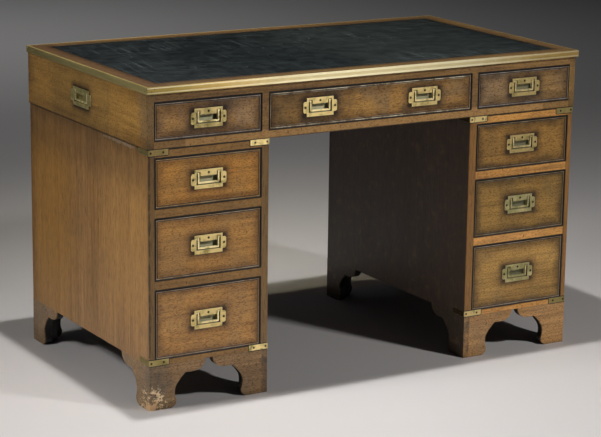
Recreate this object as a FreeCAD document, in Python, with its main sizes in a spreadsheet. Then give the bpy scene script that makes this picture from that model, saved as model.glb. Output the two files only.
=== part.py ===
import FreeCAD, Part
import os
import re

import Sketcher

# Campaign desk.  A case with three drawers and the writing top stands on two pedestals of three
# drawers each, which stand on bracket feet.  Lengths are millimetres.  The frame has +Z up, X along
# the width and the drawers opening towards -Y; its origin is the middle of the footprint, on the floor.

SIZES = [
    # the whole desk
    ("desk_width", 1206, "over the brass edge"),
    ("desk_depth", 674, "over the brass edge"),
    ("desk_height", 762, "floor to brass edge; the lower drawers take what the other heights leave"),
    ("front_overhang", 8, "top beyond the case and pedestal fronts"),
    ("side_overhang", 3, "top beyond the case ends"),
    ("back_overhang", 2, "top beyond the backs"),
    # writing top
    ("top_thickness", 16.5, "height of the brass edge"),
    ("border_width", 46, "desk edge to leather"),
    ("band_thickness", 3.5, "crossbanding"),
    ("leather_thickness", 1.5, "writing leather"),
    ("leather_sink", 0.3, "leather below the crossbanding"),
    ("leather_corner", 9, "corner radius of the leather"),
    ("edge_metal", 2.5, "brass edge strip, thickness of the face"),
    ("edge_lip", 5, "brass edge strip seen from above"),
    ("edge_lip_metal", 1.2, "thickness of that lip"),
    ("edge_round", 0.9, "rounding of the brass arris"),
    ("pin_radius", 1.1, "brass edge pins"),
    ("pin_proud", 0.3, "pin head beyond the brass"),
    ("pin_from_corner", 7, "pins from the corner of the top"),
    ("pin_from_arris", 3.6, "pins from the upper and lower arris"),
    # case
    ("arris", 1.1, "chamfer on the outer arrises of case and pedestals"),
    ("case_gap", 0.3, "case above the pedestals"),
    ("frieze_rail", 20.5, "height of the case rails"),
    ("frieze_rail_depth", 24, "front to back"),
    ("frieze_opening", 87.2, "height of the case drawer openings"),
    ("case_end_thickness", 17.5, "end panel, seen as the outer stile"),
    ("case_stile", 21, "inner stile"),
    ("partition_thickness", 16, "between the case drawers"),
    ("case_back_thickness", 12, "back board"),
    ("case_floor_thickness", 12, "bottom board"),
    ("case_drawer_room", 92, "space behind a case drawer"),
    # pedestals
    ("pedestal_width", 312.5, "outer side to inner side"),
    ("pedestal_inset", 3.5, "pedestal inside the case end"),
    ("outer_side", 15.5, "outer side panel"),
    ("inner_side", 21, "kneehole side panel"),
    ("pedestal_back_thickness", 9, "back panel"),
    ("cap_board", 20.5, "top board of a pedestal"),
    ("base_board", 14.5, "bottom board of a pedestal"),
    ("rail_height", 24.5, "rail between drawers"),
    ("rail_depth", 60, "front to back"),
    ("upper_opening", 116, "height of the upper drawer opening"),
    ("middle_opening", 144.5, "height of the middle drawer opening"),
    ("pedestal_drawer_room", 55, "space behind a pedestal drawer"),
    ("runner_width", 22, "drawer runner"),
    ("runner_height", 16, "drawer runner in a pedestal"),
    # drawers
    ("front_thickness", 20, "drawer front"),
    ("drawer_side", 10, "drawer side and back"),
    ("drawer_bottom", 6, "drawer bottom"),
    ("drawer_bottom_rise", 8, "drawer bottom above the lower edge of the sides"),
    ("side_drop", 6, "drawer sides below the top of the front"),
    ("side_gap", 1.5, "drawer to opening, each side"),
    ("top_gap", 1.8, "drawer to opening, above"),
    ("floor_gap", 0.4, "drawer above its rail"),
    ("bead_width", 3.2, "raised bead round a drawer front"),
    ("bead_round", 1.1, "rounding of the bead"),
    ("quirk_width", 2.2, "groove inside the bead"),
    ("quirk_depth", 2.4, "groove below the bead"),
    ("field_sink", 1.1, "field of a drawer front below the bead"),
    # recessed pulls and carrying handles; heights are from the middle of the plate
    ("pull_spread", 294, "between the two pulls of the centre drawer"),
    ("carry_setback", 350, "carrying handle behind the case front"),
    ("plate_thickness", 1.8, "plate"),
    ("plate_chamfer", 0.5, "edge of the plate"),
    ("plate_half_height", 22.5, "body of the plate"),
    ("ear_half_height", 13.75, "ears of the plate"),
    ("ear_corner", 3, "cut corners of the ears"),
    ("cup_wall", 1.8, "wall of the finger cup"),
    ("cup_depth", 9, "finger cup behind the plate"),
    ("cup_foot", 13.6, "lower end of the cup, below the middle"),
    ("cup_head", 9.4, "upper end of the cup"),
    ("tongue_foot", 7.9, "lower edge of the plate between the bail's arms"),
    ("slot_head", 17.5, "upper end of the slots for the bail's arms"),
    ("slot_depth", 6, "slots behind the plate"),
    ("slot_width", 10.1, "slots for the bail's arms"),
    ("cup_clearance", 0.2, "cup to its mortise in the wood"),
    ("pivot_height", 14, "bail pivot"),
    ("pivot_setback", 1, "bail pivot behind the plate's seat"),
    ("trunnion_radius", 1.6, "bail pivot pins"),
    ("trunnion_reach", 1.5, "pivot pin into the cup wall"),
    ("pivot_clearance", 0.05, "radial, pivot pins in the cup wall"),
    ("bail_arm", 5, "width of a bail arm"),
    ("bail_bar", 4, "height of the bail's bar"),
    ("bail_depth", 4.8, "front to back of the bail"),
    ("bail_proud", 1.4, "bail in front of the plate's seat"),
    ("bail_gap", 3.1, "bail arm to the cup's end"),
    ("bar_foot", 10.8, "lower edge of the bail's bar, below the middle"),
    ("bail_corner", 3, "outer corner radius of the bail"),
    ("bail_round", 0.8, "rounding of the bail's front arrises"),
    ("pull_half_width", 46.5, "drawer pull plate over its ears"),
    ("pull_body_half", 37, "drawer pull plate, body"),
    ("pull_cup_half", 31.6, "drawer pull, finger cup"),
    ("pull_screw_reach", 40.5, "side screws from the middle"),
    ("carry_half_width", 56, "carrying handle plate over its ears"),
    ("carry_body_half", 44, "carrying handle plate, body"),
    ("carry_cup_half", 38, "carrying handle, finger cup"),
    ("carry_screw_reach", 49, "side screws from the middle"),
    ("top_screw_height", 15.2, "top screw"),
    # screws
    ("screw_head_radius", 2.9, "countersunk head"),
    ("screw_head_height", 1.5, "countersunk head"),
    ("screw_shank_radius", 1.4, "shank"),
    ("screw_length", 12.5, "under the head"),
    ("screw_slot_width", 0.8, "driver slot"),
    ("screw_slot_depth", 0.7, "driver slot"),
    # corner straps
    ("strap_leg", 50, "length of each leg"),
    ("strap_height", 13.5, "width of the metal"),
    ("strap_metal", 2.4, "thickness"),
    ("strap_proud", 0.5, "metal in front of the wood"),
    ("strap_near_screw", 5, "first screw of the front leg, from the corner"),
    ("strap_side_screw", 18, "first screw of the side leg, from the corner"),
    ("strap_far_screw", 37, "second screw of either leg, from the corner"),
    # bracket feet
    ("foot_height", 108, "floor to base board"),
    ("bracket_length", 147, "along the base board"),
    ("bracket_thickness", 20, "front and side brackets"),
    ("foot_pad", 52, "foot on the floor"),
    ("foot_swell", 69.5, "widest reach of the foot"),
    ("foot_waist", 66, "reach above the swell"),
    ("cusp_reach", 95, "cusp of the bracket"),
    ("cusp_height", 82, "cusp above the floor"),
    ("lobe_reach", 130, "where the lobe beside the cusp turns up"),
    ("lobe_height", 84, "that place above the floor"),
    ("glue_block", 26, "square block inside each foot"),
    ("glue_block_lift", 3, "block above the floor"),
    # locating dowels
    ("dowel_radius", 6, "between case and pedestal"),
    ("dowel_length", 27, "overall"),
    ("dowel_rise", 9, "above the pedestal"),
    ("dowel_clearance", 0.08, "radial, in the case"),
    ("dowel_headroom", 1, "above the dowel, in the case"),
    ("dowel_setback", 70, "from the pedestal's front and back"),
]

# Places that several pieces share, as formulas of the sizes.
# x, as the distance from the middle of the desk
CASE_SIDE = "(desk_width / 2 - side_overhang)"
CASE_INNER = f"({CASE_SIDE} - case_end_thickness)"
PEDESTAL_OUTER = f"({CASE_SIDE} - pedestal_inset)"
PEDESTAL_INNER = f"({PEDESTAL_OUTER} - pedestal_width)"
STILE_OUTER = f"({PEDESTAL_INNER} + case_stile)"
PARTITION_INNER = f"({PEDESTAL_INNER} + (case_stile - partition_thickness) / 2)"
PARTITION_OUTER = f"({PARTITION_INNER} + partition_thickness)"
# y
FRONT = "(front_overhang - desk_depth / 2)"
BACK = "(desk_depth / 2 - back_overhang)"
CASE_DRAWER = f"({BACK} - {FRONT} - case_back_thickness - case_drawer_room)"
PEDESTAL_DRAWER = f"({BACK} - {FRONT} - pedestal_back_thickness - pedestal_drawer_room)"
# z, from the top down and from the floor up; the lower drawer opening is what is left between them
CASE_TOP = "(desk_height - top_thickness)"
FRIEZE_CEILING = f"({CASE_TOP} - frieze_rail)"
FRIEZE_FLOOR = f"({FRIEZE_CEILING} - frieze_opening)"
CASE_FLOOR = f"({FRIEZE_FLOOR} - frieze_rail)"
PEDESTAL_TOP = f"({CASE_FLOOR} - case_gap)"
CAP_FLOOR = f"({PEDESTAL_TOP} - cap_board)"
UPPER_FLOOR = f"({CAP_FLOOR} - upper_opening)"
MIDDLE_FLOOR = f"({UPPER_FLOOR} - rail_height - middle_opening)"
LOWER_FLOOR = "(foot_height + base_board)"
LOWER_OPENING = f"({MIDDLE_FLOOR} - rail_height - {LOWER_FLOOR})"

SIDES = ("left", "right")
TOUCH = 0.01  # two coordinates closer than this are the same


def make_sheet(document):
    """Puts the driving sizes in a spreadsheet: name, number and what it measures."""
    table = document.addObject("Spreadsheet::Sheet", "Sizes")
    for row, (alias, number, note) in enumerate(SIZES, start=1):
        table.set(f"A{row}", alias)
        table.set(f"B{row}", str(number))
        table.set(f"C{row}", note)
        table.setAlias(f"B{row}", alias)
    document.recompute()
    return table


doc = FreeCAD.newDocument("campaign_desk")
sheet = make_sheet(doc)
nodes = []


def size(alias):
    """One driving size as a number, for the shapes that code builds."""
    return float(getattr(sheet, alias))


def bind(thing, path, formula):
    """Ties a property to a formula of size names, such as 'desk_width / 2'."""
    thing.setExpression(path, re.sub(r"[a-z_]\w*", lambda name: "Sizes." + name.group(), str(formula)))


def place(thing, x=0, y=0, z=0):
    """Ties the position of an object to three formulas."""
    bind(thing, "Placement.Base.x", x)
    bind(thing, "Placement.Base.y", y)
    bind(thing, "Placement.Base.z", z)
    return thing


def turn(thing, axis, degrees):
    """Turns an object about an axis through its own origin."""
    thing.Placement = FreeCAD.Placement(FreeCAD.Vector(), FreeCAD.Rotation(FreeCAD.Vector(*axis), degrees))
    return thing


def block(name, x, y, z, wide, deep, high):
    """A rectangular block: lowest corner, then its size along X, Y and Z."""
    solid = doc.addObject("Part::Box", name)
    bind(solid, "Length", wide)
    bind(solid, "Width", deep)
    bind(solid, "Height", high)
    return place(solid, x, y, z)


def rod(name, axis, radius, length, x, y, z):
    """A round rod that starts at a point and runs along X, Y or Z."""
    solid = doc.addObject("Part::Cylinder", name)
    if axis == "X":
        turn(solid, (0, 1, 0), 90)
    if axis == "Y":
        turn(solid, (1, 0, 0), -90)
    bind(solid, "Radius", radius)
    bind(solid, "Height", length)
    return place(solid, x, y, z)


def group(name, parts):
    """Several objects held together, each still its own solid."""
    held = doc.addObject("Part::Compound", name)
    held.Links = parts
    return held


def fused(name, parts):
    whole = doc.addObject("Part::MultiFuse", name)
    whole.Shapes = parts
    return whole


def cut(name, base, tool):
    rest = doc.addObject("Part::Cut", name)
    rest.Base = base
    rest.Tool = tool
    return rest


def mirrored(name, source):
    """The other hand of an object, mirrored in X."""
    copy = doc.addObject("Part::Mirroring", name)
    copy.Source = source
    copy.Normal = FreeCAD.Vector(1, 0, 0)
    return copy


def node(label, thing):
    """Names an object as one sub-part of the desk."""
    thing.Label = label
    nodes.append(thing)
    return thing


def side_block(name, side, near, far, y, z, deep, high):
    """A block of the left or right half, between two distances from the middle of the desk."""
    start = near if side == "right" else f"-({far})"
    return block(name, start, y, z, f"{far} - {near}", deep, high)


def edges_where(shape, test):
    """Numbers of the edges whose two ends pass a test."""
    found = []
    for number, edge in enumerate(shape.Edges, start=1):
        if test(edge.Vertexes[0].Point, edge.Vertexes[-1].Point):
            found.append(number)
    return found


def on_side(shape, point, direction):
    """Whether a point lies on the side of a shape that a direction such as '+x' names."""
    end = "Max" if direction[0] == "+" else "Min"
    return abs(getattr(point, direction[1]) - getattr(shape.BoundBox, direction[1].upper() + end)) < TOUCH


def eased(board, *arrises):
    """Chamfers the arrises of a board that pairs of its sides name, such as '+x -z'."""
    board.recompute()
    shape = board.Shape
    numbers = []
    for arris in arrises:
        numbers += edges_where(shape, lambda start, end: all(
            on_side(shape, point, direction) for point in (start, end) for direction in arris.split()))
    chamfer = doc.addObject("Part::Chamfer", board.Name + "_eased")
    chamfer.Base = board
    chamfer.Edges = [(number, size("arris"), size("arris")) for number in numbers]
    return chamfer


# ---------------------------------------------------------------- PartDesign helpers


def new_body(name):
    return doc.addObject("PartDesign::Body", name)


def new_sketch(body, name, plane, lift=0):
    """An empty sketch on one of the body's own planes, lifted along the plane's normal."""
    sketch = body.newObject("Sketcher::SketchObject", name)
    origin_plane = [feature for feature in body.Origin.OriginFeatures if feature.Role == plane][0]
    sketch.AttachmentSupport = [(origin_plane, "")]
    sketch.MapMode = "FlatFace"
    bind(sketch, "AttachmentOffset.Base.z", lift)
    return sketch


def constrain(sketch, kind, geometry, number, formula):
    """Adds a named length to a sketch and ties it to a formula."""
    index = sketch.addConstraint(Sketcher.Constraint(kind, *geometry, number))
    name = f"length_{index}"
    sketch.renameConstraint(index, name)
    bind(sketch, f"Constraints.{name}", formula)


def draw_rectangle(sketch, x, y, wide, high):
    """A rectangle: lower left corner from the sketch's origin, width and height, all formulas."""
    corners = [(1, 1), (3, 1), (3, 2), (1, 2)]
    points = [FreeCAD.Vector(*corner, 0) for corner in corners]
    first = sketch.GeometryCount
    for number in range(4):
        sketch.addGeometry(Part.LineSegment(points[number], points[(number + 1) % 4]))
    for number in range(4):
        following = first + (number + 1) % 4
        sketch.addConstraint(Sketcher.Constraint("Coincident", first + number, 2, following, 1))
    for number in (0, 2):
        sketch.addConstraint(Sketcher.Constraint("Horizontal", first + number))
        sketch.addConstraint(Sketcher.Constraint("Vertical", first + number + 1))
    constrain(sketch, "DistanceX", (first, 1, first, 2), 2.0, wide)
    constrain(sketch, "DistanceY", (first + 1, 1, first + 1, 2), 1.0, high)
    constrain(sketch, "DistanceX", (-1, 1, first, 1), 1.0, x)
    constrain(sketch, "DistanceY", (-1, 1, first, 1), 1.0, y)


def draw_circle(sketch, x, y, radius):
    """A circle: centre from the sketch's origin and radius, all formulas."""
    first = sketch.GeometryCount
    sketch.addGeometry(Part.Circle(FreeCAD.Vector(1, 1, 0), FreeCAD.Vector(0, 0, 1), 1))
    constrain(sketch, "Radius", (first,), 1.0, radius)
    constrain(sketch, "DistanceX", (-1, 1, first, 3), 1.0, x)
    constrain(sketch, "DistanceY", (-1, 1, first, 3), 1.0, y)


def add_feature(body, kind, name, sketch, length, **settings):
    """A pad or pocket of a sketch."""
    feature = body.newObject("PartDesign::" + kind, name)
    feature.Profile = sketch
    bind(feature, "Length", length)
    for key, setting in settings.items():
        setattr(feature, key, setting)
    return feature


def round_edges(body, name, base, radius, test):
    """A fillet on the edges of a body's last feature whose two ends pass a test."""
    doc.recompute()
    fillet = body.newObject("PartDesign::Fillet", name)
    fillet.Base = (base, [f"Edge{number}" for number in edges_where(base.Shape, test)])
    bind(fillet, "Radius", radius)
    return fillet


# ---------------------------------------------------------------- brass fittings


def make_screw():
    """Slotted countersunk wood screw along +Y, the face of its head at the origin."""
    head = doc.addObject("Part::Cone", "screw_head")
    turn(head, (1, 0, 0), -90)
    bind(head, "Radius1", "screw_head_radius")
    bind(head, "Radius2", "screw_shank_radius")
    bind(head, "Height", "screw_head_height")
    shank = rod("screw_shank", "Y", "screw_shank_radius", "screw_length", 0, "screw_head_height", 0)
    slot = block("screw_slot", "-screw_head_radius", 0, "-screw_slot_width / 2",
                 "2 * screw_head_radius", "screw_slot_depth", "screw_slot_width")
    blank = fused("screw_blank", [head, shank])
    return blank, cut("screw_form", blank, slot)


def placed(name, form, x=0, y=0, z=0, spin=0):
    """A copy of a form, turned about Z and moved."""
    copy = group(name, [form])
    turn(copy, (0, 0, 1), spin)
    return place(copy, x, y, z)


def plate_forms(kind, screw_blank, screw):
    """Recessed pull: its plate and cup with three screws, and the mortise that it needs in the wood.

    The middle of the plate is the origin, its seat on the wood is y = 0 and it is seen from -Y.
    """
    half, body, cup = f"{kind}_half_width", f"{kind}_body_half", f"{kind}_cup_half"
    ears = block(f"{kind}_ears", f"-{half}", "-plate_thickness", "-ear_half_height",
                 f"2 * {half}", "plate_thickness", "2 * ear_half_height")
    doc.recompute()
    cut_ears = doc.addObject("Part::Chamfer", f"{kind}_cut_ears")
    cut_ears.Base = ears
    upright = edges_where(ears.Shape, lambda start, end: abs(start.y - end.y) > TOUCH)
    cut_ears.Edges = [(number, size("ear_corner"), size("ear_corner")) for number in upright]
    plate = block(f"{kind}_body", f"-{body}", "-plate_thickness", "-plate_half_height",
                  f"2 * {body}", "plate_thickness", "2 * plate_half_height")
    cup_block = block(f"{kind}_cup", f"-({cup} + cup_wall)", 0, "-(cup_foot + cup_wall)",
                      f"2 * ({cup} + cup_wall)", "cup_depth + cup_wall", "cup_foot + cup_head + 2 * cup_wall")
    slot_walls = [side_block(f"{kind}_slot_wall_{side}", side, f"({cup} - slot_width - cup_wall)",
                             f"({cup} + cup_wall)", 0, "cup_head", "slot_depth + cup_wall",
                             "slot_head - cup_head + cup_wall") for side in SIDES]
    casting = fused(f"{kind}_casting", [cut_ears, plate, cup_block] + slot_walls)
    hollow = [block(f"{kind}_hollow", f"-{cup}", 0, "-cup_foot",
                    f"2 * {cup}", "cup_depth", "cup_foot + cup_head"),
              block(f"{kind}_mouth", f"-{cup}", "-plate_thickness", "-cup_foot",
                    f"2 * {cup}", "2 * plate_thickness", "cup_foot + tongue_foot")]
    for side in SIDES:
        hollow.append(side_block(f"{kind}_slot_{side}", side, f"({cup} - slot_width)", cup,
                                 "-plate_thickness", 0, "plate_thickness + slot_depth", "slot_head"))
        start = f"{cup} - cup_wall" if side == "right" else f"-({cup} + cup_wall)"
        hollow.append(rod(f"{kind}_bore_{side}", "X", "trunnion_radius + pivot_clearance", "2 * cup_wall",
                          start, "pivot_setback", "pivot_height"))
    spots = [(f"-{kind}_screw_reach", 0), (f"{kind}_screw_reach", 0), (0, "top_screw_height")]
    screws = [placed(f"{kind}_screw_{number}", screw, x, "-plate_thickness", z)
              for number, (x, z) in enumerate(spots, start=1)]
    blanks = [placed(f"{kind}_blank_{number}", screw_blank, x, "-plate_thickness", z)
              for number, (x, z) in enumerate(spots, start=1)]
    shell = cut(f"{kind}_shell", casting, fused(f"{kind}_cavity", hollow + blanks))
    doc.recompute()
    eased = doc.addObject("Part::Chamfer", f"{kind}_plate_form")
    eased.Base = shell
    front = -size("plate_thickness")
    inside = (size(body) - TOUCH, size("plate_half_height") - TOUCH)
    rim = edges_where(shell.Shape, lambda start, end: all(
        abs(point.y - front) < TOUCH and (abs(point.x) > inside[0] or abs(point.z) > inside[1])
        for point in (start, end)))
    eased.Edges = [(number, size("plate_chamfer"), size("plate_chamfer")) for number in rim]
    mortise = [block(f"{kind}_mortise_cup", f"-({cup} + cup_wall + cup_clearance)", "-plate_thickness",
                     "-(cup_foot + cup_wall + cup_clearance)", f"2 * ({cup} + cup_wall + cup_clearance)",
                     "plate_thickness + cup_depth + cup_wall + cup_clearance",
                     "cup_foot + cup_head + 2 * (cup_wall + cup_clearance)")]
    for side in SIDES:
        mortise.append(side_block(f"{kind}_mortise_{side}", side,
                                  f"({cup} - slot_width - cup_wall - cup_clearance)",
                                  f"({cup} + cup_wall + cup_clearance)", "-plate_thickness", 0,
                                  "plate_thickness + cup_depth + cup_wall + cup_clearance",
                                  "slot_head + cup_wall + cup_clearance"))
    return [eased] + screws, fused(f"{kind}_mortise", mortise + blanks)


def bail_form(kind):
    """Swinging bail of a recessed pull, in the same frame as its plate."""
    outer = f"({kind}_cup_half - bail_gap)"
    inner = f"({outer} - bail_arm)"
    body = new_body(f"{kind}_bail_form")
    outline = new_sketch(body, f"{kind}_bail_outline", "XZ_Plane", "bail_proud")
    draw_rectangle(outline, f"-{outer}", "-bar_foot",
                   f"2 * {outer}", "bar_foot + pivot_height + bail_depth / 2")
    add_feature(body, "Pad", f"{kind}_bail_blank", outline, "bail_depth", Reversed=True)
    inside = new_sketch(body, f"{kind}_bail_inside", "XZ_Plane", "bail_proud")
    draw_rectangle(inside, f"-{inner}", "bail_bar - bar_foot",
                   f"2 * {inner}", "bar_foot + pivot_height + bail_depth")
    opened = add_feature(body, "Pocket", f"{kind}_bail_opened", inside, "bail_depth")
    foot = -size("bar_foot")
    top = size("pivot_height") + size("bail_depth") / 2
    half = size(f"{kind}_cup_half") - size("bail_gap")
    low = round_edges(body, f"{kind}_bail_corners", opened, "bail_corner",
                      lambda start, end: start.x == end.x and abs(abs(start.x) - half) < TOUCH
                      and abs(start.z - foot) < TOUCH and abs(end.z - foot) < TOUCH)
    eyes = round_edges(body, f"{kind}_bail_eyes", low, "bail_depth / 2 - pivot_clearance",
                       lambda start, end: abs(start.y - end.y) < TOUCH
                       and start.z > top - TOUCH and end.z > top - TOUCH)
    round_edges(body, f"{kind}_bail_soft", eyes, "bail_round", lambda start, end: all(
        abs(point.y + size("bail_proud")) < TOUCH for point in (start, end)))
    reach = f"({kind}_cup_half + trunnion_reach)"
    for side, start in (("left", f"-{reach}"), ("right", inner)):
        circle = new_sketch(body, f"{kind}_trunnion_section_{side}", "YZ_Plane", start)
        draw_circle(circle, "pivot_setback", "pivot_height", "trunnion_radius")
        add_feature(body, "Pad", f"{kind}_trunnion_{side}", circle, f"{reach} - {inner}")
    return body


def strap_forms(screw_blank, screw):
    """Angle straps for the corners of a pedestal front, and the housings that they need in the wood.

    The lower front corner of the wood under the strap is the origin.
    """
    front_leg = block("strap_front_leg", "-strap_proud", "-strap_proud", 0,
                      "strap_proud + strap_leg", "strap_metal", "strap_height")
    side_leg = block("strap_side_leg", "-strap_proud", "-strap_proud", 0,
                     "strap_metal", "strap_proud + strap_leg", "strap_height")
    angle = fused("strap_angle", [front_leg, side_leg])
    spots = [("strap_near_screw", "-strap_proud", 0), ("strap_far_screw", "-strap_proud", 0),
             ("-strap_proud", "strap_side_screw", -90), ("-strap_proud", "strap_far_screw", -90)]
    screws = [placed(f"strap_screw_{number}", screw, x, y, "strap_height / 2", spin)
              for number, (x, y, spin) in enumerate(spots, start=1)]
    blanks = [placed(f"strap_blank_{number}", screw_blank, x, y, "strap_height / 2", spin)
              for number, (x, y, spin) in enumerate(spots, start=1)]
    metal = cut("strap_metal_left", angle, group("strap_holes", blanks))
    left = group("strap_form_left", [metal] + screws)
    housing = fused("strap_housing_left", [angle] + blanks)
    return ({"left": left, "right": mirrored("strap_form_right", left)},
            {"left": housing, "right": mirrored("strap_housing_right", housing)})


# ---------------------------------------------------------------- drawers


def drawer_front(name, width, height, pulls):
    """Drawer front with a bead and quirk, and a mortise for each pull.

    The middle of the opening's lower edge is the origin; the face of the bead is y = 0.
    """
    body = new_body(name)
    x, z = f"(side_gap - {width} / 2)", "floor_gap"
    wide, high = f"({width} - 2 * side_gap)", f"({height} - floor_gap - top_gap)"
    outline = new_sketch(body, f"{name}_outline", "XZ_Plane")
    draw_rectangle(outline, x, z, wide, high)
    add_feature(body, "Pad", f"{name}_board", outline, "front_thickness", Reversed=True)
    field = new_sketch(body, f"{name}_field_outline", "XZ_Plane")
    draw_rectangle(field, f"{x} + bead_width", f"{z} + bead_width",
                   f"{wide} - 2 * bead_width", f"{high} - 2 * bead_width")
    add_feature(body, "Pocket", f"{name}_field", field, "field_sink")
    ring = new_sketch(body, f"{name}_quirk_outline", "XZ_Plane")
    for inset in ("bead_width", "(bead_width + quirk_width)"):
        draw_rectangle(ring, f"{x} + {inset}", f"{z} + {inset}",
                       f"{wide} - 2 * {inset}", f"{high} - 2 * {inset}")
    quirk = add_feature(body, "Pocket", f"{name}_quirk", ring, "quirk_depth")
    round_edges(body, f"{name}_bead", quirk, "bead_round",
                lambda start, end: abs(start.y) < TOUCH and abs(end.y) < TOUCH)
    middle = f"({z} + {high} / 2)"
    reach = "(pull_cup_half + cup_wall + cup_clearance)"
    inner = "(pull_cup_half - slot_width - cup_wall - cup_clearance)"
    cups = new_sketch(body, f"{name}_cup_outline", "XZ_Plane")
    slots = new_sketch(body, f"{name}_slot_outline", "XZ_Plane")
    holes = new_sketch(body, f"{name}_hole_outline", "XZ_Plane")
    for pull in pulls:
        draw_rectangle(cups, f"{pull} - {reach}", f"{middle} - cup_foot - cup_wall - cup_clearance",
                       f"2 * {reach}", "cup_foot + cup_head + 2 * (cup_wall + cup_clearance)")
        for start in (f"{pull} - {reach}", f"{pull} + {inner}"):
            draw_rectangle(slots, start, middle, f"{reach} - {inner}", "slot_head + cup_wall + cup_clearance")
        draw_circle(holes, f"{pull} - pull_screw_reach", middle, "screw_shank_radius")
        draw_circle(holes, f"{pull} + pull_screw_reach", middle, "screw_shank_radius")
        draw_circle(holes, pull, f"{middle} + top_screw_height", "screw_shank_radius")
    depth = "field_sink + cup_depth + cup_wall + cup_clearance"
    add_feature(body, "Pocket", f"{name}_cups", cups, depth)
    add_feature(body, "Pocket", f"{name}_slots", slots, depth)
    add_feature(body, "Pocket", f"{name}_holes", holes,
                "field_sink - plate_thickness + screw_head_height + screw_length")
    return body


def drawer_box(name, width, height, length):
    """Two sides, back and bottom of a drawer, in the same frame as its front."""
    outer = f"({width} / 2 - side_gap)"
    inner = f"({outer} - drawer_side)"
    sides = [side_block(f"{name}_{side}", side, inner, outer, "front_thickness", "floor_gap",
                        f"{length} - front_thickness", f"{height} - top_gap - side_drop - floor_gap")
             for side in SIDES]
    rise = "(floor_gap + drawer_bottom_rise)"
    bottom = block(f"{name}_bottom", f"-{inner}", "front_thickness", rise,
                   f"2 * {inner}", f"{length} - front_thickness", "drawer_bottom")
    back = block(f"{name}_back", f"-{inner}", f"{length} - drawer_side", f"{rise} + drawer_bottom",
                 f"2 * {inner}", "drawer_side", f"{height} - top_gap - side_drop - {rise} - drawer_bottom")
    return group(name, sides + [back, bottom])


def make_drawer(name, x, floor, width, height, length, pulls, plate_parts, bail):
    """One drawer with its pulls, placed in its opening.  pulls names each pull and its place across."""
    node(f"{name}_drawer_front", place(drawer_front(f"{name}_front", width, height, [at for _, at in pulls]),
                                       x, FRONT, floor))
    node(f"{name}_drawer_box", place(drawer_box(f"{name}_box", width, height, length), x, FRONT, floor))
    middle = f"{floor} + (floor_gap + {height} - top_gap) / 2"
    plates = []
    for part, at in pulls:
        spot = (f"{x} + {at}", f"{FRONT} + field_sink", middle)
        plates.append(place(group(f"{name}_{part}_fitting", plate_parts), *spot))
        node(f"{name}_{part}_bail", place(group(f"{name}_{part}_swing", [bail]), *spot))
    node(f"{name}_pull_plates" if len(plates) > 1 else f"{name}_pull_plate", group(f"{name}_plates", plates))


# ---------------------------------------------------------------- writing top


def centred_box(wide, deep, low, high):
    """A box centred on Z, as a plain shape."""
    return Part.makeBox(wide, deep, high - low, FreeCAD.Vector(-wide / 2, -deep / 2, low))


def leather_slab(low, high):
    """A slab with the outline of the leather, as a plain shape."""
    border = 2 * size("border_width")
    slab = centred_box(size("desk_width") - border, size("desk_depth") - border, low, high)
    upright = [edge for edge in slab.Edges if abs(edge.Vertexes[0].Z - edge.Vertexes[1].Z) > TOUCH]
    return slab.makeFillet(size("leather_corner"), upright)


def mitred_lengths(ring):
    """Splits a frame round the top into front, right, back and left lengths, mitred at the corners."""
    wide, deep = size("desk_width") / 2, size("desk_depth") / 2
    ridge = wide - deep
    corners = [(-wide, -deep), (wide, -deep), (wide, deep), (-wide, deep)]
    peaks = [[(ridge, 0), (-ridge, 0)], [(ridge, 0)], [(-ridge, 0), (ridge, 0)], [(-ridge, 0)]]
    lengths = []
    for number, peak in enumerate(peaks):
        outline = [corners[number], corners[(number + 1) % 4]] + peak
        points = [FreeCAD.Vector(x, y, 0) for x, y in outline]
        corner_cut = Part.Face(Part.makePolygon(points + points[:1]))
        lengths.append(ring.common(corner_cut.extrude(FreeCAD.Vector(0, 0, size("top_thickness")))))
    return lengths


def brass_edge():
    """The brass angle round the top, before it is mitred: a face and a lip over the crossbanding."""
    wide, deep, top = size("desk_width"), size("desk_depth"), size("top_thickness")
    metal, lip, seat = 2 * size("edge_metal"), 2 * size("edge_lip"), top - size("edge_lip_metal")
    whole = centred_box(wide, deep, 0, top)
    arrises = [edge for edge in whole.Edges if abs(edge.Vertexes[0].Z - edge.Vertexes[1].Z) < TOUCH]
    whole = whole.makeFillet(size("edge_round"), arrises)
    whole = whole.cut(centred_box(wide - metal, deep - metal, 0, seat))
    return whole.cut(centred_box(wide - lip, deep - lip, 0, top))


def edge_pins():
    """Two pins at each end of each length of the brass edge, as plain cylinders."""
    wide, deep = size("desk_width") / 2, size("desk_depth") / 2
    heights = (size("pin_from_arris"), size("top_thickness") - size("pin_from_arris"))
    length = size("edge_metal") + size("pin_proud")
    pins = []
    for sign_x in (-1, 1):
        for sign_y in (-1, 1):
            for height in heights:
                corner = FreeCAD.Vector(sign_x * wide, sign_y * deep, height)
                inward_x = FreeCAD.Vector(-sign_x, 0, 0)
                inward_y = FreeCAD.Vector(0, -sign_y, 0)
                for along, into in ((inward_x, inward_y), (inward_y, inward_x)):
                    start = corner + along * size("pin_from_corner") - into * size("pin_proud")
                    pins.append(Part.makeCylinder(size("pin_radius"), length, start, into))
    return pins


def feature(name, shape):
    """An object whose shape code has made."""
    thing = doc.addObject("Part::Feature", name)
    thing.Shape = shape
    return thing


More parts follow.
